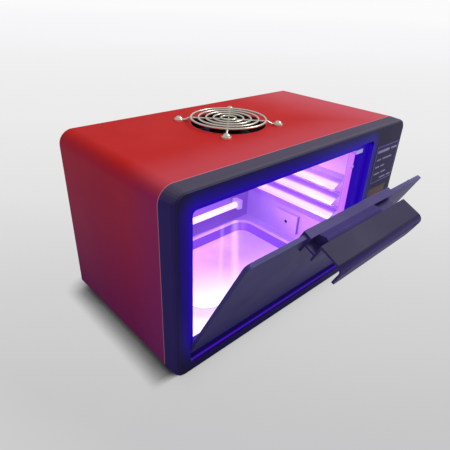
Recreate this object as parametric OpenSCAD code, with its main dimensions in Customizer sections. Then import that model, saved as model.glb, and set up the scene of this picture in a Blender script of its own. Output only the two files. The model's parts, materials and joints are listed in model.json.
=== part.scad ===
/* [Case] */
// Width of the case over its painted sides
case_w = 330; // [328:1:350]
// Depth of the case behind the bezel
case_d = 158; // [152:1:200]
// Height of the case without its feet
case_h = 169; // [169:1:190]
// Rounding of the two roof edges
case_r = 14; // [8:1:18]
// Thickness of the painted steel sheet
sheet = 1.2; // [0.8:0.1:1.6]
// Height of the rubber feet
foot_h = 10; // [9.5:0.5:16]
// Diameter of a rubber foot at the case
foot_dia = 18; // [14:1:24]
// Distance from a foot's centre to the sides of the case
foot_inset = 22; // [18:1:22]

/* [Bezel] */
// Depth of the moulded front bezel
bezel_d = 15; // [14:0.5:20]
// How far the bezel's front face is drawn in at each side
bezel_in_side = 5; // [3:0.5:7]
// How far the bezel's front face is drawn in at the top
bezel_in_top = 3; // [2:0.5:5]
// How far the bezel hangs below the case
bezel_drop = 8; // [4:0.5:9]
// Wall of the bezel's control side
bezel_wall = 3; // [2.4:0.2:4]
// Radius of the bezel's front corners
bezel_r = 9; // [5:1:13]

/* [Doorway] */
// Width of the bezel's rail at the left of the doorway
rail_side = 11.5; // [9:0.5:16]
// Height of the bezel's rail above the doorway
rail_top = 11.5; // [9:0.5:16]
// Height of the bezel's rail below the doorway
rail_bottom = 9.5; // [8:0.5:14]
// Width of the control side, from the doorway to the bezel's right edge
control_w = 60.5; // [57:0.5:66]
// Depth of the rebate that the door closes into
rebate_d = 6; // [5.5:0.1:7]
// Width of the ledge at the sides and top of the inner opening
ledge = 7.5; // [5:0.5:9]
// Width of the ledge below the inner opening
ledge_low = 11; // [10:0.5:12]
// Corner radius of the doorway
doorway_r = 4; // [2:0.5:8]

/* [Door] */
// Distance from the shut door's top edge to the doorway's upper edge
door_head = 7; // [5:0.5:7.5]
// Thickness of the door panel
door_t = 3.6; // [3:0.2:4.2]
// Gap between the door and the doorway at each side
door_gap = 1.25; // [0.8:0.05:2]
// Corner radius of the door panel
door_r = 4; // [2:0.5:8]
// Angle from upright at which the open door rests on the ledge
door_open = 26; // [22:1:30]
// Height of the hinge pins above the doorway's lower edge
pin_up = 13.9; // [12:0.1:16]
// Distance of the hinge pins behind the bezel's front face
pin_back = 2; // [1.9:0.1:2.4]
// Diameter of a hinge pin
pin_dia = 2; // [1.6:0.1:2.2]
// Length of a hinge pin
pin_len = 14; // [10:1:20]
// Running clearance of the pins in the door, on the radius
pin_clear = 0.05; // [0.03:0.01:0.08]

/* [Handle] */
// Length of the handle
handle_w = 122.5; // [100:0.5:150]
// Wall of the handle moulding
handle_t = 2; // [1.6:0.1:2.6]
// How far the lip stands out from the door
handle_out = 35; // [28:1:42]
// Height of the turned-down lip
lip_h = 21; // [17:1:28]
// Outer radius of the bend above the lip
handle_bend = 6; // [4:0.5:8]
// Radius of the lip's lower corners
lip_r = 9; // [4:0.5:12]
// Height of the handle's shelf above the door's top edge
shelf_up = 4; // [3:0.5:5]
// Length of the leg that lies on the door's outer face
leg_h = 15; // [12:0.5:20]
// Distance of the trough's outer wall from the door
trough_w = 11; // [9:0.5:14]
// Depth of the trough between the cap and the shelf
trough_h = 10; // [7:0.5:12]
// Length of the raised bar in the trough
bar_w = 76; // [50:1:90]
// Distance of the raised bar from the handle's left end
bar_in = 9.5; // [4:0.5:16]

/* [Chamber] */
// Distance from the doorway's left side in to the chamber's wall
chamber_in_left = 12.5; // [12:0.5:15]
// Distance from the doorway's right side in to the chamber's wall
chamber_in_right = 21; // [18:0.5:24]
// Distance from the chamber's back to the rear of the case
chamber_behind = 17; // [16:0.5:22]
// Height of the chamber's floor above the case's underside
floor_z = 8.5; // [7.5:0.5:9]
// Room for the fan, from the chamber's ceiling to the top of the case
fan_room = 21; // [20.5:0.5:23]
// Thickness of the bright liner sheet
liner = 0.8; // [0.6:0.1:1]
// Width of the liner's right front flange
flange_w = 18; // [15:0.5:20]

/* [Tray rack] */
// Number of ridges on each rack
ridges = 3; // [2:1:3]
// Distance from ridge to ridge
ridge_pitch = 18.5; // [16:0.5:20]
// How far a ridge stands out from the wall
ridge_out = 15.5; // [10:0.5:18]
// Height of the top ridge's nose above the chamber's floor
ridge_top = 94; // [90:1:104]
// Drop of a ridge's upper face from the wall to its nose
ridge_fall = 7; // [4:0.5:9]
// Thickness of the rack sheet
rack_t = 1; // [0.8:0.1:1.2]
// Distance of the left rack's end behind the chamber's front
left_rack_in = 17; // [2:1:24]

/* [Tray] */
// Gap between the tray's rim and the chamber's walls
tray_side = 24; // [21:1:42]
// Distance of the tray's rim behind the chamber's front
tray_front = 12.5; // [9:0.5:36]
// Height of the tray
tray_h = 9.5; // [7:0.5:14]
// Corner radius of the tray's rim
tray_r = 20; // [12:1:30]
// Width of the tray's flat rim
tray_rim = 5; // [3:0.5:8]
// How far the tray's sides lean in from rim to bottom
tray_lean = 5; // [2:0.5:8]
// Thickness of the tray's sheet
tray_t = 0.8; // [0.6:0.1:1.2]

/* [Lamps] */
// Diameter of a lamp tube
tube_dia = 8; // [6:0.5:10]
// Distance from a tube's end to the chamber's wall
tube_side = 31; // [28:1:42]
// Distance of the back lamp's centre from the back wall
back_lamp_out = 7; // [6:0.5:9]
// Height of the back lamp's centre above the floor
back_lamp_up = 27.5; // [22:0.5:40]
// Distance of a ceiling lamp's centre below the ceiling
ceiling_lamp_down = 9; // [7:0.5:10]
// Distance between the two ceiling lamps
ceiling_lamp_gap = 62; // [50:1:80]
// Width of a lamp holder along the tube
holder_w = 8; // [6:0.5:12]
// Side of a lamp holder's square end
holder_h = 13; // [12:0.5:14]

/* [Fan] */
// Depth of the fan frame
fan_d = 15; // [12:0.5:15]
// Diameter of the fan's bore and of the hole in the roof
fan_bore = 76; // [72:0.5:76]
// Fan centre from the middle of the case, to the right
fan_x = -18; // [-40:1:20]
// Fan centre from the front of the case
fan_y = 86.5; // [60:0.5:100]
// Number of fan blades
fan_blades = 7; // [5:1:9]
// Diameter of the guard's wire
wire_dia = 2; // [1.6:0.1:2.4]
// Number of rings in the guard
ring_count = 5; // [4:1:6]
// Height of the rings' centre line above the roof
guard_up = 5; // [4:0.5:7]

/* [Controls] */
// Width of the control label
label_w = 48; // [40:0.5:50]
// Height of the control label
label_h = 45; // [36:0.5:50]
// Distance from the label's top to the top of the bezel's face
label_down = 21; // [16:0.5:26]
// Width of the display window
window_w = 38; // [30:0.5:44]
// Height of the display window
window_h = 17; // [12:0.5:20]
// Diameter of a push button
button_dia = 10; // [8:0.5:12]
// Travel of a push button
button_travel = 1.2; // [0.8:0.1:1.6]
// Gap between neighbouring push buttons
button_gap = 5.5; // [4:0.5:7]
// Width of the power switch's opening
switch_w = 27; // [24:0.5:30]
// Height of the power switch's opening
switch_h = 13; // [12:0.5:16]
// Angle between the rocker's two positions
rocker_deg = 20; // [14:1:24]

/* [Hidden] */
$fn = 48;
eps = 0.01;
fit_gap = 0.3;

// Lines of the bezel: y is negative in front of the case, z is zero at the case's underside
face_y = -bezel_d;
face_left = -case_w / 2 + bezel_in_side;
face_right = case_w / 2 - bezel_in_side;
face_top = case_h - bezel_in_top;
face_bottom = -bezel_drop;
way_left = face_left + rail_side;
way_right = face_right - control_w;
doorway_w = way_right - way_left;
way_bottom = face_bottom + rail_bottom;
way_top = face_top - rail_top;
ledge_y = face_y + rebate_d;
way_mid = (way_left + way_right) / 2;
inner_r = 4;

// Door: drawn upright with its outer face on y = 0 and its lower edge on z = 0
door_w = doorway_w - 2 * door_gap;
pin_y = face_y + pin_back;
pin_z = way_bottom + pin_up;
stop_gap = 0.25;
closed_in_y = pin_y + door_t / 2;
pin_rise = (ledge_y - stop_gap - pin_y - door_t / 2 * cos(door_open)) / sin(door_open);
door_h = way_top - door_head - pin_z + pin_rise;

// Catch: the closed door's plate stops just short of the magnet
magnet_w = 12;
magnet_h = 4.5;
strike_t = 0.8;
magnet_x = doorway_w / 2 - ledge - inner_r - magnet_w;
magnet_z = way_top - ledge - magnet_h;
magnet_proud = ledge_y - closed_in_y - strike_t - fit_gap;

// Handle, in the door's own lines: k is the distance out from the door's face
shelf_z = door_h + shelf_up;
shelf_k = handle_out;
trough_z = shelf_z - trough_h;
cap_z = door_h + handle_t;
bar_left = -handle_w / 2 + bar_in;
bar_rise = 1.2;
bar_ridge = 3;
cap_in = 8;
cap_in_t = min(handle_t, ledge_y - closed_in_y - 0.2);
rib_h = 7;

// Case
flange_up = 8;
return_w = 10;
foot_web = 3;
foot_dome = 2.4;
foot_bite = 3;
slots = 14;
slot_w = 4;
slot_h = 34;
slot_pitch = 10;
slot_z = 24;
slot_x = way_mid - (slots - 1) * slot_pitch / 2;

// Bezel
bezel_edge = 3;
bezel_low_r = 6;
side_web = 3;
pin_land = 4;

// Chamber
chamber_left_x = way_left + chamber_in_left;
chamber_right_x = way_right - chamber_in_right;
chamber_mid = (chamber_left_x + chamber_right_x) / 2;
chamber_w = chamber_right_x - chamber_left_x;
chamber_d = case_d - chamber_behind;
flange_room = 0.8;
left_flange_w = chamber_left_x + case_w / 2 - sheet - return_w - flange_room;
rack_end = 1;
ceiling_z = case_h - fan_room;
lamp_reach = back_lamp_out + tube_dia / 2 + 1.5;
tray_w = chamber_w - 2 * tray_side;
tray_back_gap = lamp_reach + 2;
tray_d = chamber_d - tray_back_gap - tray_front;
tube_len = chamber_w - 2 * tube_side;
flange_screw_in = 3.5;
flange_screw_low = 30;
flange_screw_down = 31;
flange_head = 6;
flange_dome = 2.4;
flange_shank = 4;
vent_pitch = 13;
vent_dia = 7;
cover_out = 5;
cover_y = 50;
cover_w = 35;
cover_h = 26;
cover_up = 8.5;
cover_hole = 4.5;

// Fan: a stock size with its usual screw square
fan_side = 80;
fan_pitch = 71.5;
roof_in = case_h - sheet;
guard_r = fan_bore / 2;
ring_step = guard_r / ring_count;
arm_z = guard_up - wire_dia + 0.4;
screw_dia = 4;
screw_head = 8;
screw_dome = 3;
eye_r = screw_head / 2 + 0.6;
eye_t = 1.6;
eye_run = 1.8;
bend_over = 0.16;
low_arm_z = wire_dia / 2 + bend_over / 2 + 0.02;
hub_r = 18;
hub_gap = 0.8;
blade_down = 1;
blade_t = 1.2;
blade_tilt = 38;
ear_t = 3;
nut_h = 3.2;
blade_gap = 1;
bearing_r = 2;
bearing_gap = 0.05;
strut_h = 3;

// Control side
side_mid = (way_right + face_right) / 2;
label_x = face_right - 2.5 - label_w;
label_z = face_top - label_down - label_h;
label_t = 0.6;
label_sunk = 0.4;
window_z = label_z - window_h - 6;
window_t = 2;
window_edge = 1.5;
button_z = window_z - button_dia / 2 - 9;
button_pitch = button_dia + button_gap;
button_proud = 2;
button_flange = 1.2;
switch_z = way_bottom + 18;
board_t = 1.6;
board_y = -1;
board_post = 6;
board_w = 46;
board_below = 16;
board_above = 10;
board_low = button_z - board_below;
board_top = window_z + window_h + board_above;
board_screw = 2.5;
board_screw_in = 4;
board_head = 4.5;
board_dome = 1.6;
display_in = 3;
display_back = 1;
tact_w = 6;
screw_bite = 6;
post_len = board_y - face_y - bezel_wall;
tact_h = 3.5;
switch_rim = 1.5;
switch_depth = 12;
switch_wall = 1.5;
rocker_in = 3;
rocker_half = switch_w / 2 - 3;
cavity_d = rocker_in + cos(rocker_deg / 2) + rocker_half * sin(rocker_deg / 2) + fit_gap;

// Small screws
small_head = 5.5;
small_dome = 1.8;
small_shank = 3;

// Inlet and driver
inlet_w = 27;
inlet_h = 20;
inlet_pitch = 40;
inlet_depth = 20;
socket_d = 15;
inlet_lip = 2.5;
inlet_x = (chamber_right_x + case_w / 2) / 2;
inlet_z = 34;
driver_x = inlet_x;
driver_w = 42;
driver_d = 78;
driver_h = 30;
driver_y = 34;

// The open door's handle reaches furthest forward, the inlet's lip furthest back
open_y = pin_y - door_t / 2 * cos(door_open) + pin_rise * sin(door_open);
bend_z = shelf_z - handle_bend;
bend_k = shelf_k - handle_bend;
front_reach = open_y - bend_z * sin(door_open) - bend_k * cos(door_open) - handle_bend;
back_reach = case_d + inlet_lip;
origin_y = -(front_reach + back_reach) / 2;

// Sets a piece, drawn in the case's own lines, on the bench with its origin below the middle
module on_bench() {
    translate([0, origin_y, foot_h]) children();
}

// Extrudes an outline drawn in x and z, from y0 backwards
module along_y(y0, len) {
    translate([0, y0 + len, 0]) rotate([90, 0, 0]) linear_extrude(height = len) children();
}

// Extrudes an outline drawn in y and z, from x0 to the right
module along_x(x0, len) {
    translate([x0, 0, 0]) rotate([90, 0, 90]) linear_extrude(height = len) children();
}

// Rectangle from one corner to the other with all four corners round
module round_box(x0, z0, x1, z1, r) {
    translate([x0 + r, z0]) square([x1 - x0 - 2 * r, z1 - z0]);
    translate([x0, z0 + r]) square([x1 - x0, z1 - z0 - 2 * r]);
    for (x = [x0 + r, x1 - r], z = [z0 + r, z1 - r]) translate([x, z]) circle(r);
}

// Outline of the case: square at the bottom, round at the roof edges
module case_outline(inset, bottom) {
    r = max(case_r - inset, 1);
    half = case_w / 2 - inset;
    translate([-half, bottom]) square([2 * half, case_h - inset - r - bottom]);
    translate([-half + r, bottom]) square([2 * half - 2 * r, case_h - inset - bottom]);
    for (x = [-half + r, half - r]) translate([x, case_h - inset - r]) circle(r);
}

// Dome-head screw standing on z = 0, its shank downwards
module dome_screw(head, dome, shank, len) {
    intersection() {
        translate([0, 0, dome - (head * head / 4 + dome * dome) / (2 * dome)])
            sphere(r = (head * head / 4 + dome * dome) / (2 * dome));
        cylinder(h = dome + 1, d = head + 1);
    }
    translate([0, 0, -len]) cylinder(h = len + eps, d = shank);
}

// Shows its children at the four holes of the fan
module at_fan_holes() {
    for (x = [-1, 1], y = [-1, 1])
        translate([fan_x + x * fan_pitch / 2, fan_y + y * fan_pitch / 2, 0]) children();
}

// Shows its children at the four feet
module at_feet() {
    for (x = [-1, 1], y = [foot_inset, case_d - foot_inset])
        translate([x * (case_w / 2 - foot_inset), y, 0]) children();
}

// Stands the upright door on its pins and tips it open
module in_doorway() {
    translate([way_mid, pin_y, pin_z]) rotate([door_open, 0, 0])
        translate([0, -door_t / 2, -pin_rise]) children();
}

// Painted sheet over the roof and both sides, with return flanges front and back
module outer_case() {
    color([0.72, 0.16, 0.18]) on_bench() difference() {
        union() {
            along_y(0, case_d) difference() {
                case_outline(0, 0);
                case_outline(sheet, -1);
            }
            for (y = [0, case_d - 2 * sheet]) along_y(y, sheet) difference() {
                case_outline(sheet, sheet + flange_up + fit_gap);
                case_outline(sheet + return_w, 0);
            }
        }
        translate([fan_x, fan_y, roof_in - 1]) cylinder(h = sheet + 2, d = fan_bore);
        at_fan_holes() translate([0, 0, roof_in - 1]) cylinder(h = sheet + 2, d = screw_dia);
        at_panel_screws(-3 * sheet) cylinder(h = 3 * sheet, d = small_shank);
    }
}

// Bottom sheet with upturned flanges along its sides and back
module base_plate() {
    half = case_w / 2 - sheet;
    color([0.62, 0.62, 0.64]) on_bench() difference() {
        union() {
            translate([-half, 0, 0]) cube([2 * half, case_d - sheet, sheet]);
            for (x = [-half, half - sheet])
                translate([x, 0, 0]) cube([sheet, case_d - sheet, sheet + flange_up]);
        }
        at_feet() translate([0, 0, -1]) cylinder(h = sheet + 2, d = screw_dia);
        at_driver_screws() translate([0, 0, -1]) cylinder(h = sheet + 2, d = small_shank);
    }
}

// Rear sheet with a row of vent slots and the inlet's cut-out
module back_panel() {
    color([0.70, 0.16, 0.18]) on_bench() difference() {
        along_y(case_d - sheet, sheet) case_outline(sheet, 0);
        for (i = [0 : slots - 1]) translate([slot_x + i * slot_pitch, case_d - sheet - 1, slot_z])
            rotate([-90, 0, 0]) linear_extrude(height = sheet + 2)
                round_box(-slot_w / 2, -slot_h, slot_w / 2, 0, 1);
        translate([inlet_x - inlet_w / 2, case_d - sheet - 1, inlet_z - inlet_h / 2])
            cube([inlet_w, sheet + 2, inlet_h]);
        at_panel_screws(-3 * sheet) cylinder(h = 4 * sheet, d = small_shank);
        at_inlet_screws(-3 * sheet) cylinder(h = 4 * sheet, d = small_shank);
    }
}

// Shows its children at the back panel's screws, their heads towards the back
module at_panel_screws(rise) {
    edge = case_w / 2 - sheet - return_w / 2;
    for (p = [[-edge, case_h * 0.25], [edge, case_h * 0.25], [-edge, case_h * 0.7],
              [edge, case_h * 0.7], [-case_w / 4, roof_in - return_w / 2],
              [case_w / 4, roof_in - return_w / 2]])
        translate([p[0], case_d, p[1]]) rotate([-90, 0, 0]) translate([0, 0, rise]) children();
}

// Six dome-head screws that hold the back panel
module panel_screws() {
    color([0.75, 0.75, 0.77]) on_bench() at_panel_screws(0)
        dome_screw(small_head, small_dome, small_shank, 3 * sheet);
}

// One slice of the bezel's outer form, drawn in by its distance from the case
module bezel_slice(y, in_side, in_top, in_low, r_top) {
    for (x = [-1, 1]) {
        along_y(y, eps) translate([x * (case_w / 2 - in_side - r_top), case_h - in_top - r_top])
            circle(r_top);
        along_y(y, eps) translate([x * (case_w / 2 - in_side - bezel_low_r),
            -bezel_drop + in_low + bezel_low_r]) circle(bezel_low_r);
    }
}

// Moulded frame with the doorway's rebate and ledge, and the hollow control side
module front_bezel() {
    color([0.17, 0.16, 0.26]) on_bench() difference() {
        union() {
            difference() {
                hull($fn = 32) {
                    bezel_slice(-eps, 0, 0, 0, case_r);
                    bezel_slice(face_y + bezel_edge, bezel_in_side - bezel_edge, bezel_in_top * 0.27, 0,
                        case_r * 0.6 + bezel_r * 0.4);
                    bezel_slice(face_y + bezel_edge / 3, bezel_in_side - bezel_edge * 0.6,
                        bezel_in_top * 0.57, 0.3, case_r * 0.3 + bezel_r * 0.7);
                    bezel_slice(face_y, bezel_in_side, bezel_in_top, 1, bezel_r);
                }
                along_y(face_y - 1, rebate_d + 1)
                    round_box(way_left, way_bottom, way_right, way_top, doorway_r);
                along_y(face_y - 1, bezel_d + 2) round_box(way_left + ledge, way_bottom + ledge_low,
                    way_right - ledge, way_top - ledge, inner_r);
                translate([way_right + side_web, face_y + bezel_wall, pin_z + pin_land])
                    cube([face_right - bezel_wall - way_right - side_web, bezel_d,
                        face_top - 2 * bezel_wall - pin_z - pin_land]);
                translate([way_right + pin_len / 2 + side_web, face_y + bezel_wall, way_bottom])
                    cube([face_right - bezel_wall - way_right - pin_len / 2 - side_web, bezel_d,
                        pin_z + pin_land - way_bottom + 1]);
            }
            at_board_screws() translate([0, 0, -post_len - eps]) cylinder(h = post_len + eps, d = board_post);
        }
        for (x = [way_left - pin_len / 2 - fit_gap, way_right - 1])
            translate([x, pin_y, pin_z]) rotate([0, 90, 0])
                cylinder(h = pin_len / 2 + fit_gap + 1, d = pin_dia);
        translate([label_x, face_y - 1, label_z]) cube([label_w, 1 + label_sunk, label_h]);
        translate([side_mid - window_w / 2, face_y - 1, window_z]) cube([window_w, 1 + window_t, window_h]);
        translate([side_mid - window_w / 2 + window_edge, face_y - 1, window_z + window_edge])
            cube([window_w - 2 * window_edge, bezel_wall + 2, window_h - 2 * window_edge]);
        for (i = [-1 : 1]) translate([side_mid + i * button_pitch, face_y - 1, button_z])
            rotate([-90, 0, 0]) cylinder(h = bezel_wall + 2, d = button_dia + 2 * fit_gap);
        translate([side_mid - switch_w / 2, face_y - 1, switch_z - switch_h / 2])
            cube([switch_w, bezel_wall + 2, switch_h]);
        at_board_screws() translate([0, 0, -screw_bite]) cylinder(h = screw_bite + 1, d = board_screw);
    }
}

// Four turned rubber feet, each hollow round its screw's head
module rubber_feet() {
    color([0.12, 0.12, 0.13]) on_bench() at_feet() difference() {
        translate([0, 0, -foot_h]) cylinder(h = foot_h, d1 = foot_dia - 3, d2 = foot_dia);
        translate([0, 0, -foot_h - 1]) cylinder(h = foot_h - foot_web + 1, d = screw_head + 1);
        translate([0, 0, -foot_h]) cylinder(h = foot_h + 1, d = screw_dia);
    }
}

// Screws that hold the feet to the base plate
module foot_screws() {
    color([0.7, 0.7, 0.72]) on_bench() at_feet() mirror([0, 0, 1])
        translate([0, 0, foot_web])
            dome_screw(screw_head, foot_dome, screw_dia, foot_web + sheet + foot_bite);
}

// Flat door panel, bored in both edges for the pins
module door_panel() {
    color([0.27, 0.26, 0.37]) on_bench() in_doorway() difference() {
        along_y(0, door_t) round_box(-door_w / 2, 0, door_w / 2, door_h, door_r);
        for (side = [-1, 1]) translate([side * (door_w / 2 + 1), door_t / 2, pin_rise])
            rotate([0, -side * 90, 0]) cylinder(h = pin_len / 2 + 2, d = pin_dia + 2 * pin_clear);
    }
}

// Steel pins pressed into the bezel, on which the door turns
module hinge_pins() {
    color([0.75, 0.75, 0.78]) on_bench() for (x = [way_left, way_right])
        translate([x - pin_len / 2, pin_y, pin_z]) rotate([0, 90, 0]) cylinder(h = pin_len, d = pin_dia);
}

// Handle outline from the cap over the door's edge to the shelf's outer wall
module handle_root() {
    translate([-handle_t, door_h]) square([door_t + handle_t + cap_in_t, handle_t]);
    translate([door_t, door_h - cap_in]) square([cap_in_t, cap_in + handle_t]);
    translate([-handle_t, door_h - leg_h]) square([handle_t, leg_h + handle_t]);
    translate([-trough_w - handle_t, trough_z - handle_t]) square([trough_w + eps, handle_t]);
    translate([-trough_w - handle_t, trough_z - rib_h]) square([handle_t, shelf_z - trough_z + rib_h]);
}

// Handle outline of the shelf and its bend
module handle_shelf() {
    translate([-bend_k, shelf_z - handle_t]) square([bend_k - trough_w, handle_t]);
    translate([-bend_k, bend_z]) difference() {
        circle(handle_bend);
        circle(handle_bend - handle_t);
        translate([0, -handle_bend - 1]) square([handle_bend + 1, 2 * handle_bend + 2]);
        translate([-handle_bend - 1, -handle_bend - 1]) square([2 * handle_bend + 2, handle_bend + 1]);
    }
}

// Handle outline of the raised bar that fills part of the trough
module handle_bar() {
    polygon([[-handle_t + eps, trough_z - eps], [-handle_t + eps, cap_z],
        [bar_ridge - trough_w, shelf_z + bar_rise], [-trough_w - eps, shelf_z],
        [-trough_w - eps, trough_z - eps]]);
}

// Moulded handle that caps the door's top edge
module door_handle() {
    color([0.24, 0.22, 0.34]) on_bench() in_doorway() difference() {
        union() {
            along_x(-handle_w / 2, handle_w) handle_root();
            along_x(-handle_w / 2, handle_w) handle_shelf();
            along_x(bar_left, bar_w) handle_bar();
            along_y(-shelf_k, handle_t) {
                translate([-handle_w / 2, shelf_z - lip_h + lip_r])
                    square([handle_w, lip_h - lip_r - handle_bend]);
                translate([-handle_w / 2 + lip_r, shelf_z - lip_h])
                    square([handle_w - 2 * lip_r, lip_h - handle_bend]);
                for (x = [-1, 1]) translate([x * (handle_w / 2 - lip_r), shelf_z - lip_h + lip_r])
                    circle(lip_r);
            }
        }
        translate([bar_left + handle_t, -trough_w, trough_z - handle_t - 1])
            cube([bar_w - 2 * handle_t, trough_w - handle_t, trough_h - 1]);
    }
}

// Steel plate on the door's inner face, opposite the magnet
module strike_plate() {
    color([0.8, 0.8, 0.82]) on_bench() in_doorway()
        translate([magnet_x, door_t, magnet_z - pin_z + pin_rise])
            cube([magnet_w, strike_t, magnet_h]);
}

// Plated magnet in the top right corner of the inner opening
module door_magnet() {
    color([0.85, 0.84, 0.88]) on_bench()
        translate([way_mid + magnet_x, ledge_y - magnet_proud, magnet_z])
            cube([magnet_w, magnet_proud - ledge_y - 1, magnet_h]);
}

// Bright floor sheet on two turned-down legs
module chamber_floor() {
    color([0.85, 0.82, 0.9]) on_bench() {
        translate([chamber_left_x, 0, floor_z - liner]) cube([chamber_w, chamber_d, liner]);
        for (x = [chamber_left_x, chamber_right_x - liner])
            translate([x, 0, sheet]) cube([liner, chamber_d, floor_z - sheet]);
    }
}

// Bright back sheet
module chamber_back() {
    color([0.85, 0.82, 0.9]) on_bench() translate([chamber_left_x, chamber_d, sheet])
        cube([chamber_w, liner, ceiling_z - sheet]);
}

// A side sheet, its front flange turned away from the chamber
module chamber_side(x, side, front_w) {
    difference() {
        union() {
            translate([side > 0 ? x : x - liner, 0, sheet])
                cube([liner, chamber_d + liner, ceiling_z - sheet]);
            translate([side > 0 ? x : x - front_w, 0, sheet])
                cube([front_w, liner, ceiling_z - sheet]);
        }
        at_flange_screws() translate([0, 0, -2 * liner]) cylinder(h = 3 * liner, d = small_shank);
    }
}

// Bright left side sheet
module chamber_left() {
    color([0.85, 0.82, 0.9]) on_bench() chamber_side(chamber_left_x, -1, left_flange_w);
}

// Bright right side sheet
module chamber_right() {
    color([0.85, 0.82, 0.9]) on_bench() chamber_side(chamber_right_x, 1, flange_w);
}

// Bright ceiling sheet, pierced below the fan, with a turned-up front flange
module chamber_ceiling() {
    color([0.85, 0.82, 0.9]) on_bench() {
        difference() {
            translate([chamber_left_x - liner, 0, ceiling_z])
                cube([chamber_w + 2 * liner, chamber_d + liner, liner]);
            for (i = [-2 : 2], j = [-2 : 2])
                translate([fan_x + i * vent_pitch, fan_y + j * vent_pitch, ceiling_z - 1])
                    cylinder(h = liner + 2, d = vent_dia);
        }
        translate([chamber_left_x - liner, 0, ceiling_z]) cube([chamber_w + 2 * liner, liner, flange_up]);
    }
}

// Shows its children at the screws of the right flange, their heads towards the door
module at_flange_screws() {
    for (z = [way_bottom + flange_screw_low, way_top - flange_screw_down])
        translate([way_right - ledge - flange_screw_in, 0, z]) rotate([90, 0, 0]) children();
}

// Dome-head screws in the liner's right flange
module flange_screws() {
    color([0.8, 0.8, 0.82]) on_bench() at_flange_screws()
        dome_screw(flange_head, flange_dome, small_shank, flange_shank);
}

// A straight run of sheet between two points of an outline
module sheet_run(p, q, t) {
    translate(p) rotate(atan2(q[1] - p[1], q[0] - p[0]))
        translate([-t / 2, -t / 2]) square([norm(q - p) + t, t]);
}

// Corrugated outline of a rack: x is the distance from the wall, z the height
function ridge_points(z) = [[rack_t / 2, z + ridge_fall + 1.5], [rack_t / 2, z + ridge_fall],
    [ridge_out - 2, z + 0.9], [ridge_out - rack_t / 2, z - 0.6], [ridge_out - 1.6, z - 2.4],
    [rack_t / 2, z - ridge_pitch + ridge_fall + 3.5]];

module rack_outline() {
    top_z = floor_z + ridge_top + ridge_fall;
    low_z = floor_z + ridge_top - ridges * ridge_pitch + ridge_fall;
    intersection() {
        union() {
            for (i = [0 : ridges - 1]) {
                pts = ridge_points(floor_z + ridge_top - i * ridge_pitch);
                for (j = [0 : len(pts) - 2]) sheet_run(pts[j], pts[j + 1], rack_t);
                sheet_run(pts[len(pts) - 1], pts[len(pts) - 1] - [0, 2], rack_t);
            }
            sheet_run([rack_t / 2, top_z], [rack_t / 2, top_z + 6], rack_t);
            sheet_run([rack_t / 2, low_z + 2], [rack_t / 2, low_z - 5], rack_t);
        }
        translate([0, sheet]) square([ridge_out + rack_t, ceiling_z]);
    }
}

module right_rack() {
    color([0.88, 0.85, 0.92]) on_bench() along_y(rack_end, chamber_d - 2 * rack_end)
        translate([chamber_right_x, 0]) mirror([1, 0]) rack_outline();
}

module left_rack() {
    color([0.88, 0.85, 0.92]) on_bench() along_y(left_rack_in, chamber_d - rack_end - left_rack_in)
        translate([chamber_left_x, 0]) rack_outline();
}

// Rounded slab of the tray at one height
module tray_slab(inset, z, t) {
    translate([0, 0, z]) linear_extrude(height = t) round_box(chamber_mid - tray_w / 2 + inset,
        tray_front + inset, chamber_mid + tray_w / 2 - inset, tray_front + tray_d - inset,
        tray_r - inset / 2);
}

// Shallow pan with a flat rim and leaning sides
module tray() {
    color([0.9, 0.88, 0.95]) on_bench() difference() {
        union() {
            tray_slab(0, floor_z + tray_h - tray_t, tray_t);
            hull($fn = 32) {
                tray_slab(tray_rim, floor_z + tray_h - tray_t, eps);
                tray_slab(tray_rim + tray_lean, floor_z, eps);
            }
        }
        hull($fn = 32) {
            tray_slab(tray_rim + tray_t, floor_z + tray_h, 1);
            tray_slab(tray_rim + tray_lean + tray_t, floor_z + tray_t, eps);
        }
    }
}

// Shows its children along each lamp's axis, with the tube's middle at the origin
module at_ceiling_lamps() {
    for (side = [-1, 1]) translate([chamber_mid, chamber_d / 2 + side * ceiling_lamp_gap / 2,
        ceiling_z - ceiling_lamp_down]) children();
}

module at_back_lamp() {
    translate([chamber_mid, chamber_d - back_lamp_out, floor_z + back_lamp_up]) children();
}

module lamp_tube() {
    rotate([0, 90, 0]) translate([0, 0, -tube_len / 2]) cylinder(h = tube_len, d = tube_dia);
}

// Thin lamp across the back of the chamber
module back_lamp() {
    color([1, 0.9, 1]) on_bench() at_back_lamp() lamp_tube();
}

// Two more lamps under the ceiling
module ceiling_lamps() {
    color([1, 0.9, 1]) on_bench() at_ceiling_lamps() lamp_tube();
}

// Square sockets that carry the tubes' ends
module lamp_holders() {
    color([0.92, 0.92, 0.92]) on_bench() for (side = [-1, 1]) {
        x = side * (tube_len / 2 + holder_w / 2) - holder_w / 2;
        at_back_lamp() translate([x, back_lamp_out - lamp_reach, -holder_h / 2])
            cube([holder_w, lamp_reach, holder_h]);
        at_ceiling_lamps() translate([x, -holder_h / 2, -tube_dia / 2 - 1.5])
            cube([holder_w, holder_h, ceiling_lamp_down + tube_dia / 2 + 1.5]);
    }
}

// Thin box with one hole, over the sensor on the right wall
module sensor_cover() {
    color([0.86, 0.82, 0.92]) on_bench() difference() {
        translate([chamber_right_x - cover_out, cover_y, floor_z + cover_up])
            cube([cover_out, cover_w, cover_h]);
        translate([chamber_right_x - cover_out + liner, cover_y + liner, floor_z + cover_up + liner])
            cube([cover_out, cover_w - 2 * liner, cover_h - 2 * liner]);
        translate([chamber_right_x - cover_out - 1, cover_y + cover_w / 2, floor_z + cover_up + cover_h / 2])
            rotate([0, 90, 0]) cylinder(h = liner + 2, d = cover_hole);
    }
}

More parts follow.
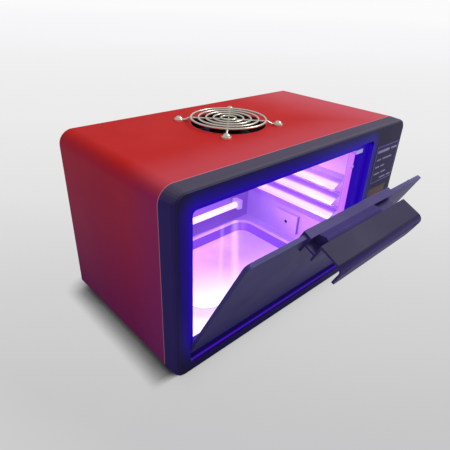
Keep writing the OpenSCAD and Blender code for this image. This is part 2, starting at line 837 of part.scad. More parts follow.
// Square fan frame with its bore, its four corner ears and the motor's seat
module fan_frame() {
    bottom = roof_in - fan_d;
    color([0.08, 0.08, 0.09]) on_bench() difference() {
        union() {
            difference() {
                union() {
                    for (z = [bottom, roof_in - ear_t]) translate([0, 0, z]) linear_extrude(height = ear_t)
                        round_box(fan_x - fan_side / 2, fan_y - fan_side / 2, fan_x + fan_side / 2,
                            fan_y + fan_side / 2, 4);
                    translate([fan_x, fan_y, bottom]) cylinder(h = fan_d, d = fan_side - 1);
                }
                translate([fan_x, fan_y, bottom - 1]) cylinder(h = fan_d + 2, d = fan_bore);
            }
            translate([fan_x, fan_y, bottom]) cylinder(h = strut_h, r = hub_r);
            for (a = [45, 135]) translate([fan_x, fan_y, bottom]) rotate(a)
                translate([-fan_bore / 2 - 0.5, -2, 0]) cube([fan_bore + 1, 4, strut_h]);
        }
        translate([fan_x, fan_y, bottom - 1]) cylinder(h = strut_h + 2, r = bearing_r);
        at_fan_holes() translate([0, 0, bottom - 1]) cylinder(h = fan_d + 2, d = screw_dia + 0.4);
    }
}

// Hub, shaft and slanted blades
module fan_rotor() {
    bottom = roof_in - fan_d + strut_h;
    blade_h = fan_d - strut_h - hub_gap - blade_down;
    color([0.06, 0.06, 0.07]) on_bench() translate([fan_x, fan_y, 0]) {
        translate([0, 0, bottom + hub_gap]) cylinder(h = blade_h, r = hub_r);
        translate([0, 0, bottom - strut_h + 0.5])
            cylinder(h = strut_h + hub_gap, r = bearing_r - bearing_gap);
        translate([0, 0, bottom + hub_gap]) intersection() {
            for (i = [0 : fan_blades - 1]) rotate(i * 360 / fan_blades)
                translate([hub_r - 3, 0, blade_h / 2]) rotate([blade_tilt, 0, 0])
                    translate([0, -fan_d, -blade_t / 2]) cube([fan_bore / 2, 2 * fan_d, blade_t]);
            cylinder(h = blade_h, r = fan_bore / 2 - blade_gap);
        }
    }
}

// A straight run of wire between two heights, outwards from the guard's centre
module wire_run(r0, z0, r1, z1) {
    translate([r0, 0, z0]) rotate([0, atan2(r1 - r0, z1 - z0), 0])
        cylinder(h = norm([r1 - r0, z1 - z0]), d = wire_dia);
}

// A bend in a wire, a little thicker than the runs that meet in it
module wire_bend(r, z) {
    translate([r, 0, z]) sphere(d = wire_dia + bend_over);
}

// Ring of wire about the vertical axis
module wire_ring(r) {
    rotate_extrude($fn = r > 10 ? 48 : 24) translate([r, 0]) circle(d = wire_dia, $fn = 14);
}

// Rings of the wire guard, sunk a little into the arms where they are welded
module guard_rings() {
    color([0.8, 0.8, 0.8]) on_bench() translate([fan_x, fan_y, case_h + guard_up])
        for (i = [1 : ring_count]) wire_ring(i * ring_step);
}

// Four arms of the guard, each with an S-bend and a flattened eye under its screw
module guard_arms() {
    reach = fan_pitch / 2 * sqrt(2);
    low_r = reach - eye_r - eye_run;
    color([0.8, 0.8, 0.8]) on_bench() translate([fan_x, fan_y, case_h]) for (a = [45 : 90 : 315]) rotate(a) {
        wire_run(a % 180 == 45 ? 0 : wire_dia / 2 + 0.02, arm_z, guard_r + 1.5, arm_z);
        wire_bend(guard_r + 1.5, arm_z);
        wire_run(guard_r + 1.5, arm_z, low_r, low_arm_z);
        wire_bend(low_r, low_arm_z);
        wire_run(low_r, low_arm_z, reach - eye_r + 0.3, low_arm_z);
        translate([reach, 0, 0]) difference() {
            cylinder(h = eye_t, r = eye_r);
            translate([0, 0, -1]) cylinder(h = eye_t + 2, d = screw_dia + 0.4);
        }
    }
}

// Dome-head screws through the guard's loops, the roof and the fan
module guard_screws() {
    color([0.85, 0.84, 0.8]) on_bench() at_fan_holes() translate([0, 0, case_h + eye_t])
        dome_screw(screw_head, screw_dome, screw_dia, eye_t + sheet + fan_d + nut_h);
}

// Six-sided nuts under the fan
module guard_nuts() {
    color([0.7, 0.7, 0.7]) on_bench() at_fan_holes() translate([0, 0, roof_in - fan_d - nut_h])
        difference() {
            cylinder(h = nut_h, d = 8, $fn = 6);
            translate([0, 0, -1]) cylinder(h = nut_h + 2, d = screw_dia, $fn = 48);
        }
}

// Thin plate at the top of the control side
module control_label() {
    color([0.2, 0.19, 0.3]) on_bench() translate([label_x, face_y + label_sunk - label_t, label_z])
        cube([label_w, label_t, label_h]);
}

// Dark window in front of the timer's display
module display_window() {
    color([0.1, 0.1, 0.14]) on_bench() translate([side_mid - window_w / 2 + 0.1, face_y, window_z + 0.1])
        cube([window_w - 0.2, window_t, window_h - 0.2]);
}

// Shows its children at the board's screws, their heads towards the back
module at_board_screws() {
    for (x = [-1, 1], z = [board_low + board_screw_in, board_top - board_screw_in])
        translate([side_mid + x * (board_w / 2 - board_screw_in), board_y, z])
            rotate([-90, 0, 0]) children();
}

// Circuit board with the display and three small switches
module control_board() {
    color([0.1, 0.35, 0.2]) on_bench() {
        difference() {
            translate([side_mid - board_w / 2, board_y, board_low])
                cube([board_w, board_t, board_top - board_low]);
            at_board_screws() translate([0, 0, -1]) cylinder(h = board_t + 2, d = board_screw);
        }
        translate([side_mid - window_w / 2 + display_in, face_y + bezel_wall + display_back,
            window_z + display_in])
            cube([window_w - 2 * display_in, post_len - display_back, window_h - 2 * display_in]);
        for (i = [-1 : 1])
            translate([side_mid + i * button_pitch - tact_w / 2, board_y - tact_h, button_z - tact_w / 2])
                cube([tact_w, tact_h, tact_w]);
    }
}

// Screws that hold the board to the bezel's posts
module board_screws() {
    color([0.75, 0.75, 0.77]) on_bench() at_board_screws() translate([0, 0, board_t])
        dome_screw(board_head, board_dome, board_screw, board_t + screw_bite - 0.5);
}

// A push button with a flange behind the bezel's wall
module push_button(i) {
    back_y = board_y - tact_h - button_travel - fit_gap;
    translate([side_mid + i * button_pitch, 0, button_z])
        rotate([-90, 0, 0]) {
            translate([0, 0, face_y - button_proud])
                cylinder(h = button_proud + bezel_wall + fit_gap + eps, d = button_dia);
            translate([0, 0, face_y + bezel_wall + fit_gap])
                cylinder(h = button_flange, d = button_dia + 3);
            translate([0, 0, face_y + bezel_wall]) cylinder(h = back_y - face_y - bezel_wall, d = 5);
        }
}

// Left button, for less time
module minus_button() {
    color([0.55, 0.55, 0.62]) on_bench() push_button(-1);
}

// Middle button, for more time
module plus_button() {
    color([0.55, 0.55, 0.62]) on_bench() push_button(0);
}

// Right button, to start
module start_button() {
    color([0.35, 0.6, 0.4]) on_bench() push_button(1);
}

// Snap-in body of the power switch, with the rocker's cavity
module switch_body() {
    color([0.06, 0.06, 0.07]) on_bench() translate([side_mid, face_y, switch_z]) difference() {
        union() {
            translate([-switch_w / 2 - 1.5, -switch_rim, -switch_h / 2 - 1.5])
                cube([switch_w + 3, switch_rim, switch_h + 3]);
            translate([-switch_w / 2 + 0.1, -eps, -switch_h / 2 + 0.1])
                cube([switch_w - 0.2, switch_depth, switch_h - 0.2]);
        }
        translate([-switch_w / 2 + switch_wall, -switch_rim - 1, -switch_h / 2 + switch_wall])
            cube([switch_w - 2 * switch_wall, switch_rim + 1 + cavity_d, switch_h - 2 * switch_wall]);
        translate([0, rocker_in, -switch_h / 2 + 0.5]) cylinder(h = switch_h - 1, r = 1);
    }
}

// Rocker with two faces, tipped to one side, and its two pivots
module switch_rocker() {
    half = rocker_half;
    tip = half * tan(rocker_deg / 2);
    high = switch_h - 2 * switch_wall - 2 * fit_gap;
    color([0.5, 0.08, 0.08]) on_bench() translate([side_mid, face_y + rocker_in, switch_z])
        rotate(rocker_deg / 2) {
            translate([0, 0, -high / 2]) linear_extrude(height = high)
                polygon([[-half, -rocker_in - tip], [0, -rocker_in], [half, -rocker_in - tip],
                    [half, 1], [0, 2.2], [-half, 1]]);
            translate([0, 0, -switch_h / 2 + 0.6]) cylinder(h = switch_h - 1.2, r = 1 - bearing_gap);
        }
}

// Shows its children at the driver's screws
module at_driver_screws() {
    for (side = [-1, 1]) translate([driver_x, driver_y + driver_d / 2 + side * (driver_d / 2 + 5), 0])
        children();
}

// Closed box of the lamps' power supply, with a tab at each end
module lamp_driver() {
    color([0.8, 0.8, 0.82]) on_bench() difference() {
        union() {
            translate([driver_x - driver_w / 2, driver_y, sheet]) cube([driver_w, driver_d, driver_h]);
            translate([driver_x - 8, driver_y - 10, sheet]) cube([16, driver_d + 20, 1.5]);
        }
        at_driver_screws() translate([0, 0, -1]) cylinder(h = 6, d = small_shank);
    }
}

module driver_screws() {
    color([0.75, 0.75, 0.77]) on_bench() at_driver_screws() translate([0, 0, sheet + 1.5])
        dome_screw(small_head, small_dome, small_shank, 1.5 + sheet + 1.5);
}

// Shows its children at the inlet's two screws, their heads towards the back
module at_inlet_screws(rise) {
    for (side = [-1, 1]) translate([inlet_x + side * inlet_pitch / 2, case_d, inlet_z])
        rotate([-90, 0, 0]) translate([0, 0, rise]) children();
}

// Panel inlet with its socket and three blades
module mains_inlet() {
    color([0.07, 0.07, 0.08]) on_bench() difference() {
        union() {
            translate([inlet_x - inlet_pitch / 2 - 5, case_d, inlet_z - inlet_h / 2 - 1])
                cube([inlet_pitch + 10, inlet_lip, inlet_h + 2]);
            translate([inlet_x - inlet_w / 2, case_d - inlet_depth, inlet_z - inlet_h / 2])
                cube([inlet_w, inlet_depth + eps, inlet_h]);
        }
        difference() {
            translate([inlet_x - inlet_w / 2 + 2, case_d - socket_d, inlet_z - inlet_h / 2 + 2.7])
                cube([inlet_w - 4, socket_d + inlet_lip + 1, inlet_h - 5.4]);
            for (p = [[-7, -1.5], [0, 2.5], [7, -1.5]])
                translate([inlet_x + p[0] - 1, case_d - socket_d - 1, inlet_z + p[1] - 2])
                    cube([2, socket_d, 4]);
        }
        at_inlet_screws(-2) cylinder(h = 4 + inlet_lip, d = small_shank);
        at_inlet_screws(inlet_lip - small_dome) cylinder(h = small_dome, d1 = small_shank, d2 = small_head);
    }
}

// Flat-head screws sunk in the inlet's lip
module inlet_screws() {
    color([0.75, 0.75, 0.77]) on_bench() at_inlet_screws(inlet_lip - small_dome) {
        cylinder(h = small_dome, d1 = small_shank, d2 = small_head);
        translate([0, 0, -3.5]) cylinder(h = 3.5 + eps, d = small_shank);
    }
}

outer_case();
base_plate();
back_panel();
front_bezel();
rubber_feet();
foot_screws();
panel_screws();
door_panel();
door_handle();
hinge_pins();
strike_plate();
door_magnet();
chamber_floor();
chamber_back();
chamber_left();
chamber_right();
chamber_ceiling();
left_rack();
right_rack();
flange_screws();
tray();
back_lamp();
ceiling_lamps();
lamp_holders();
sensor_cover();
fan_frame();
fan_rotor();
guard_rings();
guard_arms();
guard_screws();
guard_nuts();
control_label();
display_window();
control_board();
board_screws();
minus_button();
plus_button();
start_button();
switch_body();
switch_rocker();
lamp_driver();
driver_screws();
mains_inlet();
inlet_screws();
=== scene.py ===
# %% [markdown]
# # Dental lab light curing unit
# The unit is a small steel oven with a red painted case, a dark moulded front, a door that drops
# open and a bright chamber lit by violet lamps. Every piece comes measured from the frame, so this
# lesson is about finishes, soft edges and the small marks that the frame doesn't draw.

import json
import math

import bmesh
import bpy
from mathutils import Matrix, Vector


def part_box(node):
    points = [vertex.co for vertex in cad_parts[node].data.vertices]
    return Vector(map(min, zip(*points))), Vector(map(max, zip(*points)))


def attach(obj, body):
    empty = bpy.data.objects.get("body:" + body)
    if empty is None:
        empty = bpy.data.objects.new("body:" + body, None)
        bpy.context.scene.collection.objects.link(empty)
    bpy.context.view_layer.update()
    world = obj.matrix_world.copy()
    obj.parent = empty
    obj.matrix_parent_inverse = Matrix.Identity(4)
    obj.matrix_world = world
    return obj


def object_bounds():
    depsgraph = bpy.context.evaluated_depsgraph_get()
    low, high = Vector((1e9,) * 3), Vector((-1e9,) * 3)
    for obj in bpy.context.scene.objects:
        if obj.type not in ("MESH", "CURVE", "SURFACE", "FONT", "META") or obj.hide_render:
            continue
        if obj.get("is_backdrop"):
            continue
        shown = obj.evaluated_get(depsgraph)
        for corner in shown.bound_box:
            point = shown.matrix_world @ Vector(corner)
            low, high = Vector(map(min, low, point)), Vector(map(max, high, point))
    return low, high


MM = 0.001
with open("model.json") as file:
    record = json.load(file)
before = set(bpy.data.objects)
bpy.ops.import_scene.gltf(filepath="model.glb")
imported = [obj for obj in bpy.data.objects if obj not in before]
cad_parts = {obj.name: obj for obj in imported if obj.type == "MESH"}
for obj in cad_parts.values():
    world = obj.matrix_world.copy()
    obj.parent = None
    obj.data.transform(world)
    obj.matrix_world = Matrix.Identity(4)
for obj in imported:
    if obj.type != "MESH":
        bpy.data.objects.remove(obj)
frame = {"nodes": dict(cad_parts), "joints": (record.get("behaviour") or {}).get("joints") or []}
nodes = frame["nodes"]
cad_box = [list(corner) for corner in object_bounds()]

# %% [markdown]
# ## Where things are
# The places that the finishes and the marks need are read from the boxes of the frame's nodes: the
# face of the bezel, the front of the case, the label, the tray, one lamp and the chamber's floor.

# %% Read the frame's own places
case_low, case_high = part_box("outer_case")
bezel_low, bezel_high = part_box("front_bezel")
label_low, label_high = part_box("control_label")
tray_low, tray_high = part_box("tray")
tube_low, tube_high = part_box("back_lamp")
tube_middle = (tube_low.x + tube_high.x) / 2
floor_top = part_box("chamber_floor")[1].z
face_y = bezel_low.y
case_front = case_low.y
print("case front at", round(case_front / MM, 2), "mm, chamber floor at", round(floor_top / MM, 2), "mm")

# %% [markdown]
# ## The camera
# The photograph looks down on the unit from its front left corner. The place and the three
# directions of the camera were worked out from the straight edges of the case, so the camera is
# written down as a position, three directions and a lens, with no shift.

# %% Stand the camera
FOCAL_LENGTH = 33.037
CAMERA_AT = (-0.306348, -0.242984, 0.296829)
look_right = Vector((0.7345687, -0.6774629, 0.0381161))
look_down = Vector((-0.3117602, -0.3868667, -0.8678362))
look_ahead = Vector((0.6026727, 0.6256023, -0.4953861))
camera_data = bpy.data.cameras.new("camera")
camera_data.sensor_width = 36
camera_data.lens = FOCAL_LENGTH
camera = bpy.data.objects.new("camera", camera_data)
bpy.context.scene.collection.objects.link(camera)
turn = Matrix((look_right, -look_down, -look_ahead)).transposed()
camera.matrix_world = Matrix.Translation(CAMERA_AT) @ turn.to_4x4()
bpy.context.scene.camera = camera
bpy.context.scene.view_settings.view_transform = "Standard"

# %% [markdown]
# ## Node helpers
# A finish is a small graph of nodes, and these helpers keep its cell short. The first adds a node
# and fills its sockets, with a plain value or with a link from another node's output. The others
# build on it: sums, products, mixed colours, one range turned into another, and coordinates. A
# mask is a number from 0 to 1 that says where something shows, and most of the helpers make one.

# %% Helpers that add nodes
BLACK = (0, 0, 0, 1)


def place(tree, kind, sockets=None, **settings):
    """Adds one node, sets its properties and fills its sockets with values or links."""
    made = tree.nodes.new(kind)
    for name, value in settings.items():
        setattr(made, name, value)
    for name, value in (sockets or {}).items():
        if isinstance(value, bpy.types.NodeSocket):
            tree.links.new(value, made.inputs[name])
        else:
            made.inputs[name].default_value = value
    return made


def math_node(tree, operation, *values, clamp=False):
    made = place(tree, "ShaderNodeMath", dict(enumerate(values)), operation=operation)
    made.use_clamp = clamp
    return made.outputs[0]


def product(tree, first, *others):
    """Multiplies masks, so that only what they share is left."""
    for other in others:
        first = math_node(tree, "MULTIPLY", first, other)
    return first


def off_middle(tree, value, middle):
    """How far a value lies from a middle, to either side."""
    return math_node(tree, "ABSOLUTE", math_node(tree, "SUBTRACT", value, middle))


def mix_colour(tree, factor, first, second):
    """The first colour where the factor is 0 and the second where it is 1."""
    made = place(tree, "ShaderNodeMix", data_type="RGBA", blend_type="MIX")
    for index, value in ((0, factor), (6, first), (7, second)):
        if isinstance(value, bpy.types.NodeSocket):
            tree.links.new(value, made.inputs[index])
        else:
            made.inputs[index].default_value = value
    return made.outputs[2]


def ramp_value(tree, value, low, high, to_low=0.0, to_high=1.0, smooth=False):
    """Turns the range low to high into another range. High may be less than low."""
    sockets = {"Value": value, "From Min": low, "From Max": high, "To Min": to_low, "To Max": to_high}
    kind = "SMOOTHSTEP" if smooth else "LINEAR"
    return place(tree, "ShaderNodeMapRange", sockets, interpolation_type=kind).outputs["Result"]


def coordinates(tree, kind="Object"):
    """X, Y and Z in the piece's own space, or with "Normal" those of the way its surface looks."""
    where = place(tree, "ShaderNodeTexCoord").outputs[kind]
    return place(tree, "ShaderNodeSeparateXYZ", {0: where}).outputs


def rgb(red, green, blue):
    """A colour as it is picked from a screen, 0 to 255, turned into the linear values nodes use."""
    def linear(value):
        value /= 255
        return value / 12.92 if value <= 0.04045 else ((value + 0.055) / 1.055) ** 2.4
    return (linear(red), linear(green), linear(blue), 1.0)


def open_material(material):
    """The node tree of a material and its Principled BSDF, to add to them."""
    tree = material.node_tree
    return tree, tree.nodes["Principled BSDF"]


def start_material(name):
    material = bpy.data.materials.new(name)
    material.use_nodes = True
    tree, shader = open_material(material)
    return material, tree, shader


def feeding(shader, socket):
    """The output that feeds a socket now, so that a new node can go between the two."""
    return shader.inputs[socket].links[0].from_socket


def feed(tree, shader, socket, made):
    tree.links.new(made, shader.inputs[socket])


# %% [markdown]
# ## Effects that several finishes share
# Real finishes are uneven in the same few ways: a fine grain, edges that have been rubbed, dust on
# what faces up, and the long scratches of brushed metal. Each is a node group with named inputs,
# built once and placed in every material with that material's own numbers. A group only puts out
# masks and heights; the shader itself stays in the material.

# %% Build the shared groups
def start_group(name, inputs, outputs):
    group = bpy.data.node_groups.new(name, "ShaderNodeTree")
    for title, default in inputs.items():
        socket = group.interface.new_socket(title, in_out="INPUT", socket_type="NodeSocketFloat")
        socket.default_value = default
    for title in outputs:
        group.interface.new_socket(title, in_out="OUTPUT", socket_type="NodeSocketFloat")
    return group, group.nodes.new("NodeGroupInput"), group.nodes.new("NodeGroupOutput")


def build_grain():
    """Fine grain over broad, cloudy unevenness, both in the piece's own space."""
    group, given, out = start_group("fine grain", {"Scale": 900.0, "Cloud": 14.0}, ("Grain", "Cloud"))
    where = place(group, "ShaderNodeTexCoord").outputs["Object"]
    fine = place(group, "ShaderNodeTexNoise", {"Vector": where, "Scale": given.outputs["Scale"],
                                               "Detail": 3.0, "Roughness": 0.6})
    broad = place(group, "ShaderNodeTexNoise", {"Vector": where, "Scale": given.outputs["Cloud"],
                                                "Detail": 4.0, "Roughness": 0.55})
    group.links.new(fine.outputs["Fac"], out.inputs["Grain"])
    group.links.new(ramp_value(group, broad.outputs["Fac"], 0.3, 0.7), out.inputs["Cloud"])
    return group


def build_edge_wear():
    """Finds edges by comparing the true normal with a rounded one, broken up by noise."""
    group, given, out = start_group("edge wear", {"Radius": 0.0008, "Amount": 0.5}, ("Wear",))
    rounded = place(group, "ShaderNodeBevel", {"Radius": given.outputs["Radius"]}, samples=4)
    plain = place(group, "ShaderNodeNewGeometry").outputs["Normal"]
    match = place(group, "ShaderNodeVectorMath", {0: rounded.outputs[0], 1: plain}, operation="DOT_PRODUCT")
    edge = ramp_value(group, match.outputs["Value"], 0.995, 0.86)
    where = place(group, "ShaderNodeTexCoord").outputs["Object"]
    patch = place(group, "ShaderNodeTexNoise", {"Vector": where, "Scale": 90.0, "Detail": 5.0})
    broken = ramp_value(group, patch.outputs["Fac"], 0.35, 0.65)
    rubbed = product(group, edge, broken)
    group.links.new(math_node(group, "MULTIPLY", rubbed, given.outputs["Amount"], clamp=True),
                    out.inputs["Wear"])
    return group


def build_dust():
    """A thin, patchy veil on whatever faces up in the piece's own space."""
    group, given, out = start_group("dust", {"Amount": 0.2}, ("Dust",))
    up = coordinates(group, "Normal")["Z"]
    where = place(group, "ShaderNodeTexCoord").outputs["Object"]
    patch = place(group, "ShaderNodeTexNoise", {"Vector": where, "Scale": 35.0,
                                                "Detail": 6.0, "Roughness": 0.7})
    settled = ramp_value(group, up, 0.2, 1.0)
    patchy = ramp_value(group, patch.outputs["Fac"], 0.35, 0.75)
    group.links.new(product(group, settled, patchy, given.outputs["Amount"]), out.inputs["Dust"])
    return group


def build_brushing():
    """Long fine scratches along one axis: noise whose space is squeezed along that axis."""
    group, given, out = start_group("brushing", {"Along X": 1.0, "Along Y": 1.0, "Along Z": 1.0}, ("Streak",))
    where = place(group, "ShaderNodeTexCoord").outputs["Object"]
    squeeze = place(group, "ShaderNodeCombineXYZ", {"X": given.outputs["Along X"],
                                                    "Y": given.outputs["Along Y"],
                                                    "Z": given.outputs["Along Z"]})
    scaled = place(group, "ShaderNodeVectorMath", {0: where, 1: squeeze.outputs[0]}, operation="MULTIPLY")
    streak = place(group, "ShaderNodeTexNoise", {"Vector": scaled.outputs[0], "Scale": 40.0,
                                                 "Detail": 6.0, "Roughness": 0.65})
    group.links.new(streak.outputs["Fac"], out.inputs["Streak"])
    return group


GRAIN = build_grain()
EDGE_WEAR = build_edge_wear()
DUST = build_dust()
BRUSHING = build_brushing()
print("shared groups:", [group.name for group in bpy.data.node_groups])


# %% [markdown]
# ## One recipe for painted and moulded pieces
# Paint, moulded plastic, rubber and plated steel differ in numbers, not in kind: a base colour
# that drifts a little, a worn colour on the edges, a dust veil, a roughness that follows the grain
# and a shallow bump. So one function holds the recipe, and each finish passes its own values.

# %% The common recipe
DUST_GREY = rgb(176, 170, 168)


def use_group(tree, group, **values):
    made = place(tree, "ShaderNodeGroup", node_tree=group)
    for name, value in values.items():
        made.inputs[name.replace("_", " ")].default_value = value
    return made.outputs


def finish(name, colour, drift, worn, rough=(0.35, 0.5), metal=0.0, grain=900.0, depth=0.00003,
           wear=0.5, dust=0.15, coat=0.0, specular=0.5):
    """Makes a material, and also gives back its tree, its shader and its base colour's output."""
    material, tree, shader = start_material(name)
    texture = use_group(tree, GRAIN, Scale=grain, Cloud=14.0)
    edge = use_group(tree, EDGE_WEAR, Radius=0.0008, Amount=wear)["Wear"]
    veil = use_group(tree, DUST, Amount=dust)["Dust"]
    base = mix_colour(tree, texture["Cloud"], colour, drift)
    rubbed = mix_colour(tree, edge, base, worn)
    dusty = mix_colour(tree, veil, rubbed, DUST_GREY)
    feed(tree, shader, "Base Color", dusty)
    uneven = ramp_value(tree, texture["Cloud"], 0.0, 1.0, rough[0], rough[1])
    duller = math_node(tree, "ADD", uneven, product(tree, veil, 0.5), clamp=True)
    feed(tree, shader, "Roughness", duller)
    bump = place(tree, "ShaderNodeBump", {"Height": texture["Grain"], "Distance": depth, "Strength": 1.0})
    feed(tree, shader, "Normal", bump.outputs["Normal"])
    shader.inputs["Metallic"].default_value = metal
    shader.inputs["Coat Weight"].default_value = coat
    shader.inputs["Coat Roughness"].default_value = 0.2
    shader.inputs["Specular IOR Level"].default_value = specular
    return material, tree, shader, dusty


# %% [markdown]
# ## Red paint of the case
# The case is steel sheet under a satin red coat. Its colour also carries painted light: a painted
# plum shade on the sides, stronger low down, a painted violet spill on the sides near the bezel, a
# painted pink sheen on the roof at the right and near the bezel, and a painted highlight, a thin pale
# line along the sheet's cut front edge. All of them are masks made from the piece's own coordinates,
# so they stay put when the unit turns.

# %% Paint the case
SHEEN_FROM_X = 40 * MM
SHEEN_DEPTH = 60 * MM
PURPLE_DEPTH = 55 * MM
CUT_EDGE = (1.0 * MM, 0.5 * MM)


def red_paint():
    material, tree, shader, plain = finish(
        "red_paint", rgb(204, 24, 24), rgb(196, 22, 22), rgb(222, 104, 106),
        rough=(0.46, 0.54), grain=1400.0, depth=0.000015, dust=0.008, specular=0.08)
    axes = coordinates(tree)
    roof = ramp_value(tree, coordinates(tree, "Normal")["Z"], 0.3, 0.9)
    wall = math_node(tree, "SUBTRACT", 1.0, roof)
    # Painted pink sheen on the roof, growing to the right and near the bezel
    right = ramp_value(tree, axes["X"], SHEEN_FROM_X, case_high.x, 0.0, 0.75, smooth=True)
    near = ramp_value(tree, axes["Y"], case_front + SHEEN_DEPTH, case_front, 0.0, 0.45, smooth=True)
    sheen = product(tree, roof, math_node(tree, "MAXIMUM", right, near))
    pink_light = mix_colour(tree, sheen, plain, rgb(210, 96, 114))
    # Painted plum shade on the sides, stronger low down
    low = ramp_value(tree, axes["Z"], case_high.z, case_low.z, 0.28, 0.95)
    plum_shade = mix_colour(tree, product(tree, low, wall), pink_light, rgb(118, 20, 96))
    # Painted violet spill on the sides near the bezel
    front = ramp_value(tree, axes["Y"], case_front + PURPLE_DEPTH, case_front, 0.0, 0.45, smooth=True)
    violet_spill = mix_colour(tree, product(tree, front, wall), plum_shade, rgb(126, 44, 124))
    # Painted highlight: a thin pale line along the case's cut front edge
    rim = ramp_value(tree, axes["Y"], case_front + CUT_EDGE[0], case_front + CUT_EDGE[1])
    feed(tree, shader, "Base Color", mix_colour(tree, product(tree, rim, 0.75), violet_spill, rgb(214, 140, 170)))
    return material


# %% [markdown]
# ## Dark plastic of the bezel and the door
# The front is moulded in a dark slate plastic with a fine satin grain. The violet lamps make it
# glow a deep blue round the doorway. The lamps light it in the scene too, but a real sensor sees
# near-ultraviolet light stronger than a colour can say, so the glow is helped by an Emission Color
# that fades with the distance from the doorway's rounded rectangle. The base colour also carries
# painted light: a blue tint on the left side and near the doorway, and a paler sheen on top. The
# door and its handle get painted light that makes them paler to the right, and their faces that
# look up get a painted shade of their own, lighter on the door and darker on the handle.

# %% Plastic with the lamps' blue spill
SIDE_MARGIN = 5 * MM
TOP_MARGIN = 3 * MM
RAIL = 11.5 * MM
SILL_UP = 9.5 * MM
DOORWAY_W = 248 * MM
LEDGE = 7.5 * MM
BEZEL_GLOW = (0.012, 0.0, 0.32, 1)
SILL_GLOW = (0.07, 0.005, 0.55, 1)
# Painted light makes the door and its handle paler between these two x places
PALE_LIGHT_X = (55 * MM, 100 * MM)
doorway_left = bezel_low.x + SIDE_MARGIN + RAIL
doorway_right = doorway_left + DOORWAY_W
doorway_top = bezel_high.z - TOP_MARGIN - RAIL
doorway_bottom = bezel_low.z + SILL_UP
shelf_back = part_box("door_handle")[0].y + 21.5 * MM
print("doorway:", round(DOORWAY_W / MM), "x", round((doorway_top - doorway_bottom) / MM), "mm")


def distance_from_doorway(tree):
    """Distance in x and z outside the inner opening, in metres, zero inside it."""
    axes = coordinates(tree)
    squares = []
    for axis, low, high in (("X", doorway_left, doorway_right), ("Z", doorway_bottom, doorway_top)):
        half = (high - low) / 2 - LEDGE
        off = off_middle(tree, axes[axis], (low + high) / 2)
        over = math_node(tree, "MAXIMUM", math_node(tree, "SUBTRACT", off, half), 0.0)
        squares.append(product(tree, over, over))
    return math_node(tree, "SQRT", math_node(tree, "ADD", *squares))


def facing_front(tree):
    """One on faces that look to the front, falling to zero on the rounded rim beside them."""
    return ramp_value(tree, coordinates(tree, "Normal")["Y"], -0.80, -0.98)


def bezel_plastic():
    material, tree, shader, plain = finish(
        "bezel_plastic", rgb(38, 32, 72), rgb(33, 28, 65), rgb(92, 86, 130),
        rough=(0.42, 0.52), grain=1800.0, depth=0.00002, dust=0.03, specular=0.15)
    axes = coordinates(tree)
    turned = coordinates(tree, "Normal")
    distance = distance_from_doorway(tree)
    near = ramp_value(tree, distance, 22 * MM, 0.0, smooth=True)
    reveal = ramp_value(tree, distance, LEDGE + 1.0 * MM, LEDGE + 0.3 * MM)
    seen = math_node(tree, "MAXIMUM", facing_front(tree), reveal)

    # The glow on the face and on the doorway's rim, weaker at the bottom
    face = ramp_value(tree, distance, 20 * MM, 8.4 * MM, 0.0, 0.60)
    rim = ramp_value(tree, distance, LEDGE + 1.2 * MM, LEDGE + 0.5 * MM)
    above = ramp_value(tree, axes["Z"], doorway_bottom + 4 * MM, doorway_bottom + 30 * MM, 0.10, 1.0)
    glow = product(tree, math_node(tree, "MAXIMUM", face, rim), above, seen)
    spill = mix_colour(tree, glow, BLACK, BEZEL_GLOW)

    # The painted glow of a bright line along the sill
    line_front = ramp_value(tree, axes["Y"], face_y + 1.6 * MM, face_y + 2.2 * MM)
    line_back = ramp_value(tree, axes["Y"], face_y + 4.6 * MM, face_y + 3.6 * MM)
    sill_face = ramp_value(tree, axes["Z"], doorway_bottom + 0.3 * MM, doorway_bottom + 0.1 * MM)
    sill = product(tree, line_front, line_back, sill_face, near)
    feed(tree, shader, "Emission Color", mix_colour(tree, sill, spill, SILL_GLOW))
    shader.inputs["Emission Strength"].default_value = 1.0

    # Painted light on the plastic: a painted blue light on its left side and near the doorway, and a painted
    # sheen that makes it paler on top
    side = mix_colour(tree, ramp_value(tree, turned["X"], -0.2, -0.9), plain, rgb(42, 28, 104))
    top_sheen = mix_colour(tree, ramp_value(tree, turned["Z"], 0.3, 0.9), side, rgb(78, 71, 94))
    feed(tree, shader, "Base Color", mix_colour(tree, product(tree, near, seen), top_sheen, rgb(30, 22, 92)))
    return material


def door_plastic(name, colour, drift, painted_up_shading):
    material, tree, shader, plain = finish(
        name, colour, drift, rgb(126, 122, 164),
        rough=(0.42, 0.52), grain=1700.0, depth=0.00002, wear=0.6, dust=0.02, specular=0.15)
    axes = coordinates(tree)
    up = coordinates(tree, "Normal")["Z"]
    # Painted light that makes the piece paler towards its right end
    right = ramp_value(tree, axes["X"], PALE_LIGHT_X[0], PALE_LIGHT_X[1], 0.0, 0.4, smooth=True)
    pale_light = mix_colour(tree, right, plain, rgb(122, 114, 156))
    # Painted shading on faces that look up, in front of the handle's trough: lighter on the door, darker on
    # the handle
    ahead = ramp_value(tree, axes["Y"], shelf_back, shelf_back - 1.5 * MM)
    shaded = product(tree, ramp_value(tree, up, 0.1, 0.8), ahead)
    feed(tree, shader, "Base Color", mix_colour(tree, shaded, pale_light, painted_up_shading))
    return material


# %% [markdown]
# ## Bright sheet inside the chamber
# The liner, the racks and the tray are bare aluminium and steel. Brushing streaks in the roughness
# and a very shallow bump spread the lamps' reflections into soft bands, as rolled sheet does. The
# photograph is overexposed in there, which lights alone don't give, so every sheet also has a
# faint violet Emission Color, and masks brighten it where the photograph burns out.

# %% Bare metal
STEEL, STEEL_DARK = rgb(196, 194, 192), rgb(176, 174, 174)
ALU, ALU_DARK = rgb(196, 188, 212), rgb(184, 176, 204)
SPILL = (0.10, 0.035, 0.26, 1)


def brushed(tree, x, y, z):
    return use_group(tree, BRUSHING, Along_X=x, Along_Y=y, Along_Z=z)["Streak"]


